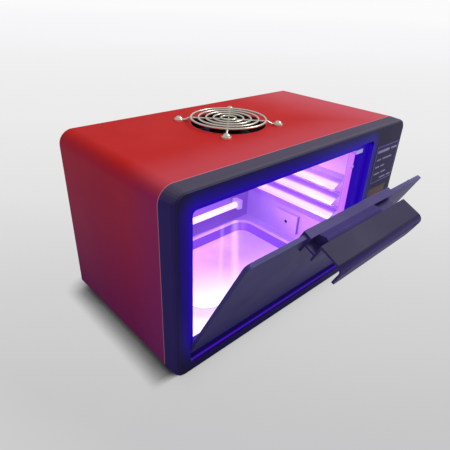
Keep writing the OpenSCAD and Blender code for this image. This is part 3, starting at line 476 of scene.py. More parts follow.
def bare_metal(name, colour, drift, rough, streaks, metal=1.0, dust=0.0, spill=None):
    """Brushed metal. The streaks run along the axis with the smallest of the three numbers."""
    material, tree, shader = start_material(name)
    cloud = use_group(tree, GRAIN, Scale=700.0, Cloud=18.0)["Cloud"]
    streak = brushed(tree, *streaks)
    edge = use_group(tree, EDGE_WEAR, Radius=0.0006, Amount=0.6)["Wear"]
    veil = use_group(tree, DUST, Amount=dust)["Dust"]
    base = mix_colour(tree, cloud, colour, drift)
    bright = mix_colour(tree, edge, base, rgb(250, 250, 252))
    feed(tree, shader, "Base Color", mix_colour(tree, veil, bright, DUST_GREY))
    feed(tree, shader, "Roughness", ramp_value(tree, streak, 0.3, 0.7, rough[0], rough[1]))
    bump = place(tree, "ShaderNodeBump", {"Height": streak, "Distance": 0.00002, "Strength": 1.0})
    feed(tree, shader, "Normal", bump.outputs["Normal"])
    shader.inputs["Metallic"].default_value = metal
    if spill:
        faint = tuple(value * 0.75 for value in spill[:3]) + (1,)
        feed(tree, shader, "Emission Color", mix_colour(tree, cloud, spill, faint))
        shader.inputs["Emission Strength"].default_value = 1.0
    return material


# %% [markdown]
# ## Racks, tray and liner
# Each starts as bare metal and then gets its own masks of painted light. The upper faces of the
# racks get a painted glare, two painted reflections of the lamps' ends cross the tray, the tray's
# sloped walls get a painted violet shade, and the corner nearest to the camera gets a painted glow
# that is nearly white. On the liner the flange beside the doorway gets a painted pink glow, faces
# that look to the front a painted violet shade, the front of the right wall a painted rosy glow, and
# what looks into the case, behind and above the chamber, gives no light at all.

# %% Dress the chamber
RACK_GLARE = (0.80, 0.66, 0.86, 1)
RACK_SHADE = (0.10, 0.015, 0.30, 1)
ACROSS_TRAY = (0.72, -0.69, 0.0)
# Where the painted reflections of the lamps' ends cross the tray
LAMP_REFLECTIONS = ((-38.3 * MM, 7 * MM, 0.55), (-55.0 * MM, 4 * MM, 0.3))


def rack_sheet():
    material = bare_metal("rack_aluminium", rgb(196, 180, 214), rgb(176, 160, 200), (0.34, 0.48),
                          (12.0, 1.0, 12.0), metal=0.55, spill=SPILL)
    tree, shader = open_material(material)
    middle = (tray_low.x + tray_high.x) / 2
    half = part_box("right_rack")[1].x - middle
    off = off_middle(tree, coordinates(tree)["X"], middle)
    nose = ramp_value(tree, off, half - 5 * MM, half - 9.5 * MM, smooth=True)
    upper = ramp_value(tree, coordinates(tree, "Normal")["Z"], 0.35, 0.85)
    uneven = ramp_value(tree, brushed(tree, 12.0, 1.0, 12.0), 0.3, 0.6, 0.7, 1.0)
    glare = product(tree, upper, nose, uneven)
    feed(tree, shader, "Emission Color", mix_colour(tree, glare, RACK_SHADE, RACK_GLARE))
    return material


def tray_sheet():
    material = bare_metal("tray_steel", rgb(236, 230, 240), rgb(214, 206, 224), (0.36, 0.52),
                          (10.0, 1.0, 10.0), metal=0.5, spill=SPILL)
    tree, shader = open_material(material)
    # Painted violet shade on the tray's sloped walls
    slope = ramp_value(tree, coordinates(tree, "Normal")["Z"], 0.99, 0.90)
    wall_shade = mix_colour(tree, slope, feeding(shader, "Base Color"), rgb(120, 84, 180))
    feed(tree, shader, "Base Color", wall_shade)
    # Painted reflections of the lamps' ends, as two streaks of emission across the tray
    where = place(tree, "ShaderNodeTexCoord").outputs["Object"]
    across = place(tree, "ShaderNodeVectorMath", {0: where, 1: ACROSS_TRAY}, operation="DOT_PRODUCT")
    lit = feeding(shader, "Emission Color")
    for middle, half, strength in LAMP_REFLECTIONS:
        off = off_middle(tree, across.outputs["Value"], middle)
        band = ramp_value(tree, off, half, 0.0, 0.0, strength, smooth=True)
        lit = mix_colour(tree, band, lit, (0.62, 0.42, 0.75, 1))
    feed(tree, shader, "Emission Color", lit)
    return material


def liner_sheet():
    material = bare_metal("liner_aluminium", ALU, ALU_DARK, (0.42, 0.58), (12.0, 12.0, 1.0),
                          metal=0.55, spill=SPILL)
    tree, shader = open_material(material)
    axes = coordinates(tree)
    turned = coordinates(tree, "Normal")
    front = facing_front(tree)
    # Painted rosy glow on the front of the right wall
    ahead = ramp_value(tree, axes["Y"], case_front + 115 * MM, case_front + 15 * MM, smooth=True)
    rosy_lit = product(tree, ahead, ramp_value(tree, turned["X"], -0.5, -0.9))
    rosy = mix_colour(tree, rosy_lit, feeding(shader, "Emission Color"), (0.42, 0.13, 0.50, 1))
    # Painted pink glow on the flange beside the doorway
    wall_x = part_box("chamber_floor")[1].x
    flange = ramp_value(tree, axes["X"], wall_x + 0.3 * MM, wall_x + 1.0 * MM)
    pink_light = mix_colour(tree, brushed(tree, 12.0, 12.0, 1.0), (0.52, 0.12, 0.80, 1), (0.74, 0.22, 0.95, 1))
    lit = mix_colour(tree, product(tree, flange, front), rosy, pink_light)
    high = math_node(tree, "GREATER_THAN", axes["Z"], floor_top + 100 * MM)
    roof = product(tree, high, ramp_value(tree, turned["Z"], 0.5, 0.9))
    outside = math_node(tree, "MAXIMUM", roof, ramp_value(tree, turned["Y"], 0.5, 0.9))
    feed(tree, shader, "Emission Color", mix_colour(tree, outside, lit, BLACK))
    # Painted violet shade on faces that look to the front
    duller = mix_colour(tree, front, feeding(shader, "Base Color"), rgb(132, 112, 176))
    feed(tree, shader, "Base Color", duller)
    return material


def add_hot_corner(material):
    """The nearest corner of the chamber burns out to white, as it does in the photograph."""
    tree, shader = open_material(material)
    where = place(tree, "ShaderNodeTexCoord").outputs["Object"]
    corner = (tray_low.x, tray_low.y, floor_top)
    away = place(tree, "ShaderNodeVectorMath", {0: where, 1: corner}, operation="DISTANCE")
    near = ramp_value(tree, away.outputs["Value"], 105 * MM, 20 * MM, smooth=True)
    level = ramp_value(tree, coordinates(tree, "Normal")["Z"], 0.2, 0.8, 0.25, 1.0)
    plain = feeding(shader, "Emission Color")
    white = mix_colour(tree, product(tree, near, level), plain, (0.75, 0.62, 0.80, 1))
    feed(tree, shader, "Emission Color", white)
    return material


# %% [markdown]
# ## Lamp glass and the display
# A lit tube is a shader that gives light. Its ends, where the electrodes sit, are a mask along the
# tube's length. The timer's digits glow the same way, in a dim red, because the photograph shows
# no bright digits. The window over the display is smoked plastic.

# %% Things that glow
LAMP_STRENGTH = 1.15
LAMP_END = 14 * MM
DIGIT_STRENGTH = 0.14


def lamp_glass():
    material, tree, shader = start_material("lamp_glass")
    half = tube_high.x - tube_middle
    off = off_middle(tree, coordinates(tree)["X"], tube_middle)
    end = ramp_value(tree, off, half - LAMP_END, half, smooth=True)
    patch = use_group(tree, GRAIN, Scale=300.0, Cloud=30.0)["Cloud"]
    lit = mix_colour(tree, patch, (0.70, 0.42, 1.0, 1), (0.78, 0.50, 1.0, 1))
    feed(tree, shader, "Emission Color", mix_colour(tree, end, lit, (0.85, 0.72, 0.95, 1)))
    feed(tree, shader, "Base Color", mix_colour(tree, end, rgb(240, 236, 250), rgb(120, 100, 120)))
    feed(tree, shader, "Roughness", ramp_value(tree, patch, 0.0, 1.0, 0.08, 0.16))
    shader.inputs["Emission Strength"].default_value = LAMP_STRENGTH
    return material


def led_red():
    material, tree, shader = start_material("led_red")
    patch = use_group(tree, GRAIN, Scale=600.0, Cloud=220.0)["Cloud"]
    feed(tree, shader, "Emission Color", mix_colour(tree, patch, (1.0, 0.06, 0.03, 1), (1.0, 0.12, 0.05, 1)))
    feed(tree, shader, "Base Color", mix_colour(tree, patch, rgb(62, 20, 34), rgb(70, 24, 40)))
    shader.inputs["Emission Strength"].default_value = DIGIT_STRENGTH
    return material


def window_plastic():
    material, tree, shader = start_material("window_plastic")
    cloud = use_group(tree, GRAIN, Scale=1200.0, Cloud=26.0)["Cloud"]
    feed(tree, shader, "Base Color", mix_colour(tree, cloud, rgb(26, 21, 44), rgb(22, 18, 38)))
    feed(tree, shader, "Roughness", ramp_value(tree, cloud, 0.0, 1.0, 0.05, 0.12))
    shader.inputs["Transmission Weight"].default_value = 0.5
    shader.inputs["Specular IOR Level"].default_value = 0.2
    shader.inputs["IOR"].default_value = 1.49
    return material


# %% [markdown]
# ## Circuit board
# The board behind the control side is green solder mask over copper tracks: a brick pattern with
# long thin bricks gives lines that read as tracks.

# %% Board
def board_green():
    material, tree, shader, plain = finish(
        "board_green", rgb(18, 92, 52), rgb(14, 78, 44), rgb(190, 170, 90),
        rough=(0.3, 0.4), grain=800.0, depth=0.00001, wear=0.3, dust=0.08)
    where = place(tree, "ShaderNodeTexCoord").outputs["Object"]
    flat = place(tree, "ShaderNodeMapping", {"Vector": where, "Rotation": (math.pi / 2, 0, 0)})
    tracks = place(tree, "ShaderNodeTexBrick", {"Vector": flat.outputs[0], "Scale": 420.0,
                                                "Mortar Size": 0.05, "Brick Width": 3.0,
                                                "Row Height": 0.7, "Color1": BLACK,
                                                "Color2": BLACK, "Mortar": (1, 1, 1, 1)})
    faint = product(tree, tracks.outputs["Color"], 0.5)
    feed(tree, shader, "Base Color", mix_colour(tree, faint, plain, rgb(60, 150, 90)))
    return material


# %% [markdown]
# ## Which piece wears which finish
# The frame's record names a material slot for every node. Each slot gets its finish here, so the
# mesh itself is never touched. Two sets of screws share a slot with the others but look different:
# the ones in the chamber's flange carry a painted violet glow from the lamps, and those of the
# fan's guard are warmer.

# %% Make every finish and put it on
FINISHES = {
    "red_paint": red_paint(),
    "grey_sheet": finish(
        "grey_sheet", rgb(150, 150, 154), rgb(138, 138, 143), rgb(190, 190, 192),
        metal=0.6, grain=600.0, wear=0.6)[0],
    "bezel_plastic": bezel_plastic(),
    "foot_rubber": finish(
        "foot_rubber", rgb(34, 33, 36), rgb(26, 26, 28), rgb(70, 70, 74),
        rough=(0.7, 0.85), grain=500.0, depth=0.00008, dust=0.3)[0],
    "screw_steel": bare_metal("screw_steel", STEEL, STEEL_DARK, (0.2, 0.36), (6.0, 6.0, 1.0)),
    "door_plastic": door_plastic("door_plastic", rgb(70, 64, 127), rgb(64, 58, 119), rgb(82, 76, 128)),
    "handle_plastic": door_plastic("handle_plastic", rgb(65, 52, 121), rgb(59, 47, 112), rgb(26, 14, 66)),
    "plate_steel": bare_metal("plate_steel", STEEL, STEEL_DARK, (0.25, 0.4), (1.0, 8.0, 8.0)),
    # The magnet's plating carries a faint painted violet glow
    "magnet_plating": bare_metal(
        "magnet_plating", rgb(214, 210, 204), rgb(200, 198, 194), (0.3, 0.4), (4.0, 4.0, 1.0),
        metal=0.7, spill=(0.06, 0.02, 0.30, 1)),
    "liner_aluminium": add_hot_corner(liner_sheet()),
    "rack_aluminium": rack_sheet(),
    "tray_steel": add_hot_corner(tray_sheet()),
    "lamp_glass": lamp_glass(),
    "holder_plastic": finish(
        "holder_plastic", rgb(228, 226, 232), rgb(216, 214, 222), rgb(240, 240, 244),
        wear=0.3, dust=0.05)[0],
    "fan_plastic": finish(
        "fan_plastic", rgb(7, 7, 8), rgb(5, 5, 6), rgb(40, 40, 45),
        rough=(0.34, 0.46), grain=1500.0, depth=0.00002, dust=0.02, specular=0.12)[0],
    "guard_wire": bare_metal(
        "guard_wire", rgb(240, 234, 222), rgb(226, 219, 206), (0.16, 0.28), (6.0, 6.0, 6.0),
        metal=0.6),
    "label_film": finish(
        "label_film", rgb(44, 37, 86), rgb(39, 33, 78), rgb(120, 116, 160),
        rough=(0.40, 0.48), grain=2200.0, depth=0.00001, wear=0.4, dust=0.02, specular=0.15)[0],
    "window_plastic": window_plastic(),
    "board_green": board_green(),
    "button_plastic": finish(
        "button_plastic", rgb(150, 150, 168), rgb(138, 138, 158), rgb(196, 196, 208),
        rough=(0.32, 0.42), grain=1600.0, depth=0.00002, wear=0.6, dust=0.08)[0],
    "switch_black": finish(
        "switch_black", rgb(20, 20, 22), rgb(15, 15, 17), rgb(78, 78, 84),
        rough=(0.25, 0.36), grain=1500.0, depth=0.00002, wear=0.6)[0],
    "rocker_red": finish(
        "rocker_red", rgb(176, 24, 24), rgb(160, 18, 20), rgb(220, 96, 92),
        rough=(0.18, 0.28), grain=1800.0, depth=0.00001, coat=0.3)[0],
    "driver_case": bare_metal(
        "driver_case", rgb(206, 206, 210), rgb(190, 190, 196), (0.3, 0.46), (1.0, 10.0, 10.0),
        dust=0.1),
}
OWN_SCREWS = {
    # Painted violet glow from the lamps on the flange's screws
    "flange_screws": bare_metal(
        "flange_screw_steel", STEEL, STEEL_DARK, (0.2, 0.36), (6.0, 6.0, 1.0),
        metal=0.7, spill=(0.40, 0.18, 0.62, 1)),
    "guard_screws": bare_metal(
        "guard_screw_steel", rgb(240, 232, 212), rgb(224, 214, 192), (0.14, 0.26), (5.0, 5.0, 5.0),
        metal=0.7),
}
for node in nodes.values():
    for spot in node.material_slots:
        slot_name = spot.material.name.split(".")[0]
        spot.material = FINISHES[slot_name]
for piece_name, screw_finish in OWN_SCREWS.items():
    for spot in nodes[piece_name].material_slots:
        spot.material = screw_finish
print("finishes:", len(FINISHES) + len(OWN_SCREWS))

# %% [markdown]
# ## Soft edges
# Nothing real has a knife edge, and a thin highlight along each edge tells the eye what a piece is
# made of. Modifiers do it without touching the mesh: Weld joins the vertices that the import left
# apart, Decimate in planar mode turns flat areas back into single faces, and Bevel rounds what is
# left of the sharp edges. The table gives each piece its width in millimetres.

# %% Round the edges of the main pieces
def soften(name, width):
    piece = nodes[name]
    weld = piece.modifiers.new("weld", "WELD")
    weld.merge_threshold = 0.002 * MM
    flatten = piece.modifiers.new("flatten", "DECIMATE")
    flatten.decimate_type = "DISSOLVE"
    flatten.angle_limit = math.radians(0.5)
    bevel = piece.modifiers.new("bevel", "BEVEL")
    bevel.width = width
    bevel.segments = 2
    bevel.limit_method = "ANGLE"
    bevel.angle_limit = math.radians(30)
    bevel.harden_normals = True
    bevel.use_clamp_overlap = True


SOFT_EDGES = {
    "door_panel": 0.6, "door_handle": 0.45, "front_bezel": 0.5, "tray": 0.25, "sensor_cover": 0.2,
    "lamp_holders": 0.8, "door_magnet": 0.25, "strike_plate": 0.15, "switch_body": 0.4,
    "switch_rocker": 0.4, "mains_inlet": 0.5, "lamp_driver": 0.8, "control_label": 0.15,
    "minus_button": 0.5, "plus_button": 0.5, "start_button": 0.5, "rubber_feet": 0.8, "fan_frame": 0.4,
}
for piece_name, millimetres in SOFT_EDGES.items():
    soften(piece_name, millimetres * MM)
print("softened:", len(SOFT_EDGES), "pieces")


# %% [markdown]
# ## Flat shapes
# Every mark on the unit is a thin closed plate: an outline in x and z, given a thickness along y.
# These helpers draw a bar with round ends or corners, a plate and a frame between two outlines,
# and turn a finished mesh into a piece that rides on one of the frame's bodies.

# %% Helpers for flat shapes
PROUD = 0.05 * MM
ARC_STEPS = 6


def bar_outline(x0, z0, x1, z1, radius):
    """A rectangle with rounded corners, as points that go round it once."""
    corners = ((x1 - radius, z1 - radius, 0), (x0 + radius, z1 - radius, 90),
               (x0 + radius, z0 + radius, 180), (x1 - radius, z0 + radius, 270))
    points = []
    for x, z, start in corners:
        for step in range(ARC_STEPS + 1):
            angle = math.radians(start + 90 * step / ARC_STEPS)
            points.append((x + radius * math.cos(angle), z + radius * math.sin(angle)))
    return points


def add_plate(mesh, outline, y_front, thickness):
    """Adds a closed thin plate that faces the front, from an outline in x and z."""
    front = [mesh.verts.new((x, y_front, z)) for x, z in outline]
    back = [mesh.verts.new((x, y_front + thickness, z)) for x, z in outline]
    mesh.faces.new(front)
    mesh.faces.new(list(reversed(back)))
    count = len(outline)
    for i in range(count):
        j = (i + 1) % count
        mesh.faces.new((front[j], front[i], back[i], back[j]))


def add_ring_plate(mesh, outer, inner, y_front, thickness):
    """Adds a closed thin frame between two outlines of as many points each."""
    loops = [[mesh.verts.new((x, y, z)) for x, z in line]
             for line in (outer, inner) for y in (y_front, y_front + thickness)]
    outer_front, outer_back, inner_front, inner_back = loops
    count = len(outer)
    for i in range(count):
        j = (i + 1) % count
        mesh.faces.new((outer_front[i], outer_front[j], inner_front[j], inner_front[i]))
        mesh.faces.new((outer_back[j], outer_back[i], inner_back[i], inner_back[j]))
        mesh.faces.new((outer_front[j], outer_front[i], outer_back[i], outer_back[j]))
        mesh.faces.new((inner_front[i], inner_front[j], inner_back[j], inner_back[i]))


def finish_mesh(mesh, name, material, body):
    bmesh.ops.recalc_face_normals(mesh, faces=mesh.faces)
    data = bpy.data.meshes.new(name)
    mesh.to_mesh(data)
    mesh.free()
    data.materials.append(material)
    piece = bpy.data.objects.new(name, data)
    bpy.context.scene.collection.objects.link(piece)
    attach(piece, body)


# %% [markdown]
# ## Print on the label
# The label's print is a thin layer of ink: bars with round ends where the real one has words, and
# a frame line round them. Each bar is given as left, bottom, right and top, in shares of the
# label's width and height.

# %% Print the label
INK = finish(
    "label_ink", rgb(150, 142, 190), rgb(136, 128, 176), rgb(210, 206, 230),
    rough=(0.4, 0.5), grain=2600.0, depth=0.00001, wear=0.1, dust=0.04)[0]
INK_DIM = finish(
    "label_line", rgb(120, 104, 200), rgb(110, 96, 188), rgb(150, 140, 214),
    rough=(0.4, 0.5), grain=2600.0, depth=0.00001, wear=0.1, dust=0.04)[0]
BARS = ((0.08, 0.81, 0.60, 0.88), (0.67, 0.82, 0.94, 0.87),
        (0.10, 0.61, 0.30, 0.65), (0.36, 0.61, 0.78, 0.65),
        (0.10, 0.42, 0.28, 0.46), (0.33, 0.42, 0.52, 0.46),
        (0.10, 0.24, 0.36, 0.28), (0.42, 0.24, 0.64, 0.28),
        (0.40, 0.09, 0.68, 0.13), (0.73, 0.09, 0.92, 0.13))
FRAME_IN = 1.0 * MM
FRAME_LINE = 0.7 * MM
label_w = label_high.x - label_low.x
label_h = label_high.z - label_low.z


def label_outline(inset, radius):
    return bar_outline(label_low.x + inset, label_low.z + inset, label_high.x - inset,
                       label_high.z - inset, radius)


print_mesh = bmesh.new()
for x0, z0, x1, z1 in BARS:
    left, right = label_low.x + x0 * label_w, label_low.x + x1 * label_w
    low, high = label_low.z + z0 * label_h, label_low.z + z1 * label_h
    add_plate(print_mesh, bar_outline(left, low, right, high, 0.8 * MM), label_low.y - PROUD, PROUD * 2)
finish_mesh(print_mesh, "label_print", INK, "housing")
frame_mesh = bmesh.new()
outer = label_outline(FRAME_IN, 1.6 * MM)
inner = label_outline(FRAME_IN + FRAME_LINE, 1.0 * MM)
add_ring_plate(frame_mesh, outer, inner, label_low.y - PROUD, PROUD * 2)
finish_mesh(frame_mesh, "label_frame", INK_DIM, "housing")

# %% [markdown]
# ## Digits of the timer
# The display shows a plain number. The smoked window would swallow light from behind it, so the
# digits lie in its face, 0.05 mm proud. A seven-segment digit is seven thin plates with pointed
# ends. One table says which of them each digit lights, and the other where each one lies in the
# digit and whether it stands upright.

# %% Build the digits
LIT_SEGMENTS = {"0": "abcdef", "3": "abgcd"}
DIGIT_W = 4.0 * MM
DIGIT_H = 8.4 * MM
DIGIT_PITCH = 6.6 * MM
DIGIT_T = 0.2 * MM
STROKE = 0.45 * MM
END_GAP = 0.35 * MM
COLON_UP = 1.6 * MM
SEGMENT_PLACES = {
    "a": (0, DIGIT_H / 2, False), "g": (0, 0, False), "d": (0, -DIGIT_H / 2, False),
    "f": (-DIGIT_W / 2, DIGIT_H / 4, True), "b": (DIGIT_W / 2, DIGIT_H / 4, True),
    "e": (-DIGIT_W / 2, -DIGIT_H / 4, True), "c": (DIGIT_W / 2, -DIGIT_H / 4, True),
}
window_low, window_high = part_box("display_window")
display_x = (window_low.x + window_high.x) / 2
display_z = (window_low.z + window_high.z) / 2
display_y = window_low.y - PROUD


def add_digit(mesh, digit, x):
    for letter in LIT_SEGMENTS[digit]:
        middle_x, middle_z, upright = SEGMENT_PLACES[letter]
        half = (DIGIT_H / 4 if upright else DIGIT_W / 2) - END_GAP
        points = [(-half, 0), (-half + STROKE, STROKE), (half - STROKE, STROKE), (half, 0),
                  (half - STROKE, -STROKE), (-half + STROKE, -STROKE)]
        turned = [(-b, a) if upright else (a, b) for a, b in points]
        outline = [(x + middle_x + a, display_z + middle_z + b) for a, b in reversed(turned)]
        add_plate(mesh, outline, display_y, DIGIT_T)


digit_mesh = bmesh.new()
for index, digit in enumerate("0300"):
    add_digit(digit_mesh, digit, display_x + (index - 1.5) * DIGIT_PITCH)
for dot_z in (display_z - COLON_UP, display_z + COLON_UP):
    dot = bar_outline(display_x - STROKE, dot_z - STROKE, display_x + STROKE, dot_z + STROKE, 0.2 * MM)
    add_plate(digit_mesh, dot, display_y, DIGIT_T)
finish_mesh(digit_mesh, "timer_digits", led_red(), "housing")

# %% [markdown]
# ## The sensor behind its cover
# The raised box on the chamber's right wall has one hole, and the photograph shows something dark
# in it. A small disc behind the hole stands for the sensor's face. It is a short cylinder, turned
# so that its axis runs along x.

# %% Set the sensor
SENSOR_R = 3.4 * MM
SENSOR_T = 0.8 * MM
SENSOR_IN = 1.6 * MM
cover_low, cover_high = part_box("sensor_cover")
lens_at = (cover_low.x + SENSOR_IN, (cover_low.y + cover_high.y) / 2, (cover_low.z + cover_high.z) / 2)
lens_place = Matrix.Translation(lens_at) @ Matrix.Rotation(math.pi / 2, 4, "Y")
lens_mesh = bmesh.new()
bmesh.ops.create_cone(lens_mesh, cap_ends=True, segments=32, radius1=SENSOR_R, radius2=SENSOR_R,
                      depth=SENSOR_T)
bmesh.ops.transform(lens_mesh, matrix=lens_place, verts=lens_mesh.verts)
finish_mesh(lens_mesh, "sensor_lens", FINISHES["switch_black"], "housing")

# %% [markdown]
# ## Signs on the buttons
# Minus, plus and a start triangle are printed on the button caps. Each sign is drawn in
# millimetres about the middle of its cap, and it rides on its own button, so it goes in with it.

# %% Mark the buttons
SIGN = finish(
    "sign_ink", rgb(238, 238, 244), rgb(226, 226, 234), rgb(250, 250, 252),
    rough=(0.35, 0.45), grain=2600.0, depth=0.00001, wear=0.2, dust=0.03)[0]
MINUS = bar_outline(-2.4, -0.45, 2.4, 0.45, 0.3)
PLUS = [(-2.4, -0.45), (-0.45, -0.45), (-0.45, -2.4), (0.45, -2.4), (0.45, -0.45), (2.4, -0.45),
        (2.4, 0.45), (0.45, 0.45), (0.45, 2.4), (-0.45, 2.4), (-0.45, 0.45), (-2.4, 0.45)]
TRIANGLE = [(-1.5, -2.1), (2.3, 0.0), (-1.5, 2.1)]


def mark_button(node_name, body, outline):
    low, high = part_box(node_name)
    x, z = (low.x + high.x) / 2, (low.z + high.z) / 2
    mesh = bmesh.new()
    add_plate(mesh, [(x + a * MM, z + b * MM) for a, b in outline], low.y - PROUD, 0.15 * MM)
    finish_mesh(mesh, body + "_sign", SIGN, body)


mark_button("minus_button", "minus", MINUS)
mark_button("plus_button", "plus", PLUS)
mark_button("start_button", "start", TRIANGLE)

# %% [markdown]
# ## Marks on the switch
# The rocker's front is two flat halves that meet in a blunt edge, with one half tipped out. Each
# mark is drawn flat and then turned about the upright axis, so it lies on its own half. The place
# where the halves meet is worked out from the rocker's pivot, which the frame's joint gives.

# %% Mark the rocker
ROCKER_DEPTH = 3 * MM
TIP = math.radians(10)
RING_W = 0.6 * MM
joints = {joint["name"]: joint for joint in frame["joints"]}
pivot = Vector(joints["rocker_tip"]["pos_m"])
meeting = pivot + Vector((ROCKER_DEPTH * math.sin(TIP), -ROCKER_DEPTH * math.cos(TIP), 0))


def mark_rocker(name, mesh, turn_by):
    place_at = Matrix.Translation(meeting) @ Matrix.Rotation(turn_by, 4, "Z")
    bmesh.ops.transform(mesh, matrix=place_at, verts=mesh.verts)
    finish_mesh(mesh, name, SIGN, "rocker")


ring_mesh = bmesh.new()
ring_out = bar_outline(4.2 * MM, -2.1 * MM, 8.4 * MM, 2.1 * MM, 2.09 * MM)
ring_in = bar_outline(4.8 * MM, -1.5 * MM, 7.8 * MM, 1.5 * MM, 1.49 * MM)
add_ring_plate(ring_mesh, ring_out, ring_in, -PROUD, PROUD * 2)
mark_rocker("rocker_ring", ring_mesh, 0.0)
line_mesh = bmesh.new()
line = bar_outline(-6.0 * MM - RING_W, -2.1 * MM, -6.0 * MM, 2.1 * MM, 0.2 * MM)
add_plate(line_mesh, line, -PROUD, PROUD * 2)
mark_rocker("rocker_line", line_mesh, 2 * TIP)

# %% [markdown]
# ## Studio floor
# The unit stands on a large pale disc. The camera sees the photograph's paper on it: a colour that
# grows from light grey to near white with the distance, darkened round the unit by the Ambient
# Occlusion node, which measures how open the sky is. Its power grows from front to back, since the
# photograph's shadow is faint in front. Every other ray meets a plain grey floor, so the paper's
# brightness never lights the unit. The Light Path node tells the two apart.

# %% Lay the floor
FLOOR_R = 30
PAPER_DIRECTION = (0.69, 0.72, 0.0)
PAPER_RANGE = (-0.2, 2.4)
PAPER_STOPS = ((0.019, 203), (0.038, 208), (0.069, 213), (0.123, 222), (0.15, 227), (0.308, 235),
               (0.654, 240))
FAR_WHITE = rgb(251, 251, 251)


def backdrop_floor():
    material, tree, shader = start_material("studio_floor")
    shader.inputs["Base Color"].default_value = rgb(206, 206, 205)
    shader.inputs["Roughness"].default_value = 0.9
    shader.inputs["Specular IOR Level"].default_value = 0.0

    # The paper's colour, from the distance behind the unit or from its middle
    where = place(tree, "ShaderNodeTexCoord").outputs["Object"]
    reach = place(tree, "ShaderNodeVectorMath", {0: where}, operation="LENGTH").outputs["Value"]
    along = place(tree, "ShaderNodeVectorMath", {0: where, 1: PAPER_DIRECTION}, operation="DOT_PRODUCT")
    outwards = math_node(tree, "MAXIMUM", along.outputs["Value"], math_node(tree, "SUBTRACT", reach, 0.42))
    paper = place(tree, "ShaderNodeValToRGB", {"Fac": ramp_value(tree, outwards, *PAPER_RANGE)})
    paper.color_ramp.elements[0].color = rgb(199, 198, 200)
    paper.color_ramp.elements[1].color = rgb(245, 245, 248)
    for stop, grey in PAPER_STOPS:
        paper.color_ramp.elements.new(stop).color = rgb(grey, grey, grey)
    distant = ramp_value(tree, outwards, PAPER_RANGE[1], 7.0)
    backdrop = mix_colour(tree, distant, paper.outputs["Color"], FAR_WHITE)

    # The contact shadow
    open_sky = place(tree, "ShaderNodeAmbientOcclusion", {"Distance": 0.023}, samples=12).outputs["AO"]
    depth = ramp_value(tree, coordinates(tree)["Y"], face_y + 4 * MM, face_y + 12 * MM, 0.15, 3.2)
    shade = math_node(tree, "POWER", open_sky, depth)
    glow = place(tree, "ShaderNodeEmission", {"Color": mix_colour(tree, shade, BLACK, backdrop),
                                              "Strength": 1.0})

    # Paper for the camera, with a little of the real floor near the unit, and grey for other rays
    ray = place(tree, "ShaderNodeLightPath").outputs
    share = ramp_value(tree, reach, 0.2, 0.6, 0.96, 1.0, smooth=True)
    blend = place(tree, "ShaderNodeMixShader", {0: product(tree, ray["Is Camera Ray"], share),
                                                1: shader.outputs[0], 2: glow.outputs[0]})
    tree.links.new(blend.outputs[0], tree.nodes["Material Output"].inputs["Surface"])
    return material


floor_mesh = bmesh.new()
bmesh.ops.create_circle(floor_mesh, cap_ends=True, segments=96, radius=FLOOR_R)
floor_data = bpy.data.meshes.new("studio_floor")
floor_mesh.to_mesh(floor_data)
floor_mesh.free()
floor_data.materials.append(backdrop_floor())
studio_floor = bpy.data.objects.new("studio_floor", floor_data)
bpy.context.scene.collection.objects.link(studio_floor)
studio_floor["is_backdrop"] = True

# %% [markdown]
# ## Sky and key light
# Even light from all round comes from the world at half strength, and one large area light from
# the front right gives the soft direction. The camera, and what shows through clear plastic, sees
# a near white world instead of the dimmer one that lights the unit.

# %% Hang the lights
SKY_STRENGTH = 0.5
KEY_WATTS = 34
world = bpy.data.worlds.new("studio")
bpy.context.scene.world = world
world.use_nodes = True
world_tree = world.node_tree
sky = world_tree.nodes["Background"]
sky.inputs["Color"].default_value = (1.0, 1.0, 1.0, 1)
sky.inputs["Strength"].default_value = SKY_STRENGTH
backdrop = place(world_tree, "ShaderNodeBackground", {"Color": FAR_WHITE, "Strength": 1.0})
ray = place(world_tree, "ShaderNodeLightPath").outputs
seen = math_node(world_tree, "MAXIMUM", ray["Is Camera Ray"], ray["Is Transmission Ray"])
mixed = place(world_tree, "ShaderNodeMixShader", {0: seen, 1: sky.outputs[0], 2: backdrop.outputs[0]})
world_tree.links.new(mixed.outputs[0], world_tree.nodes["World Output"].inputs["Surface"])


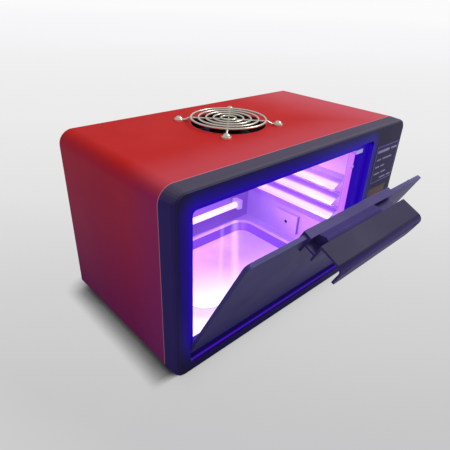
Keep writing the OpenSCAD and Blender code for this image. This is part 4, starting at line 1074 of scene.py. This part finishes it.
def soft_light(name, place_at, look_at, size, watts, colour=(1, 1, 1)):
    data = bpy.data.lights.new(name, "AREA")
    data.shape = "RECTANGLE"
    data.size, data.size_y = size
    data.energy = watts
    data.color = colour
    light = bpy.data.objects.new(name, data)
    light.location = place_at
    light.rotation_euler = (Vector(look_at) - Vector(place_at)).to_track_quat("-Z", "Y").to_euler()
    bpy.context.scene.collection.objects.link(light)


soft_light("key", (1.5, -0.6, 2.0), (0, 0, 0.1), (1.0, 1.0), KEY_WATTS)

# %% [markdown]
# ## Light in the chamber
# Three thin tubes light a real chamber, and their light bounces many times between bright walls.
# The tubes glow in the scene, and a long narrow area light along each of them carries most of the
# light, for these give clean light with few samples. The ceiling's front tube is the strong one.

# %% Light the chamber
VIOLET = (0.46, 0.17, 1.0)
PALE_VIOLET = (0.80, 0.46, 1.0)
FRONT_WATTS, MIDDLE_WATTS, BACK_WATTS = 0.22, 0.05, 0.02
LIGHT_GAP = 1.5 * MM
ceiling_tube_low, ceiling_tube_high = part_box("ceiling_lamps")
tube_r = (tube_high.z - tube_low.z) / 2
tube_size = (tube_high.x - tube_low.x, tube_r * 2)
ceiling_z = ceiling_tube_low.z - LIGHT_GAP
front_y = ceiling_tube_low.y + tube_r
middle_y = ceiling_tube_high.y - tube_r
for y, watts, colour in ((front_y, FRONT_WATTS, PALE_VIOLET), (middle_y, MIDDLE_WATTS, VIOLET)):
    soft_light("ceiling_glow", (tube_middle, y, ceiling_z), (tube_middle, y, 0), tube_size, watts, colour)
back_y = tube_low.y - LIGHT_GAP
soft_light("back_glow", (tube_middle, back_y, tube_low.z + tube_r),
           (tube_middle, back_y - 1, tube_low.z - 0.2), tube_size, BACK_WATTS, VIOLET)

# %% [markdown]
# ## Compare the size with the frame
# The dressed model is measured against the box of the frame, and the last line prints how far the
# low and the high corner of the dressed box lie from the frame's, in millimetres.

# %% Measure and finish
dressed_box = [list(corner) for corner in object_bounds()]
for side, cad, dressed in zip(("low", "high"), cad_box, dressed_box):
    print(side, [round((b - a) / MM, 3) for a, b in zip(cad, dressed)], "mm from the frame's corner")
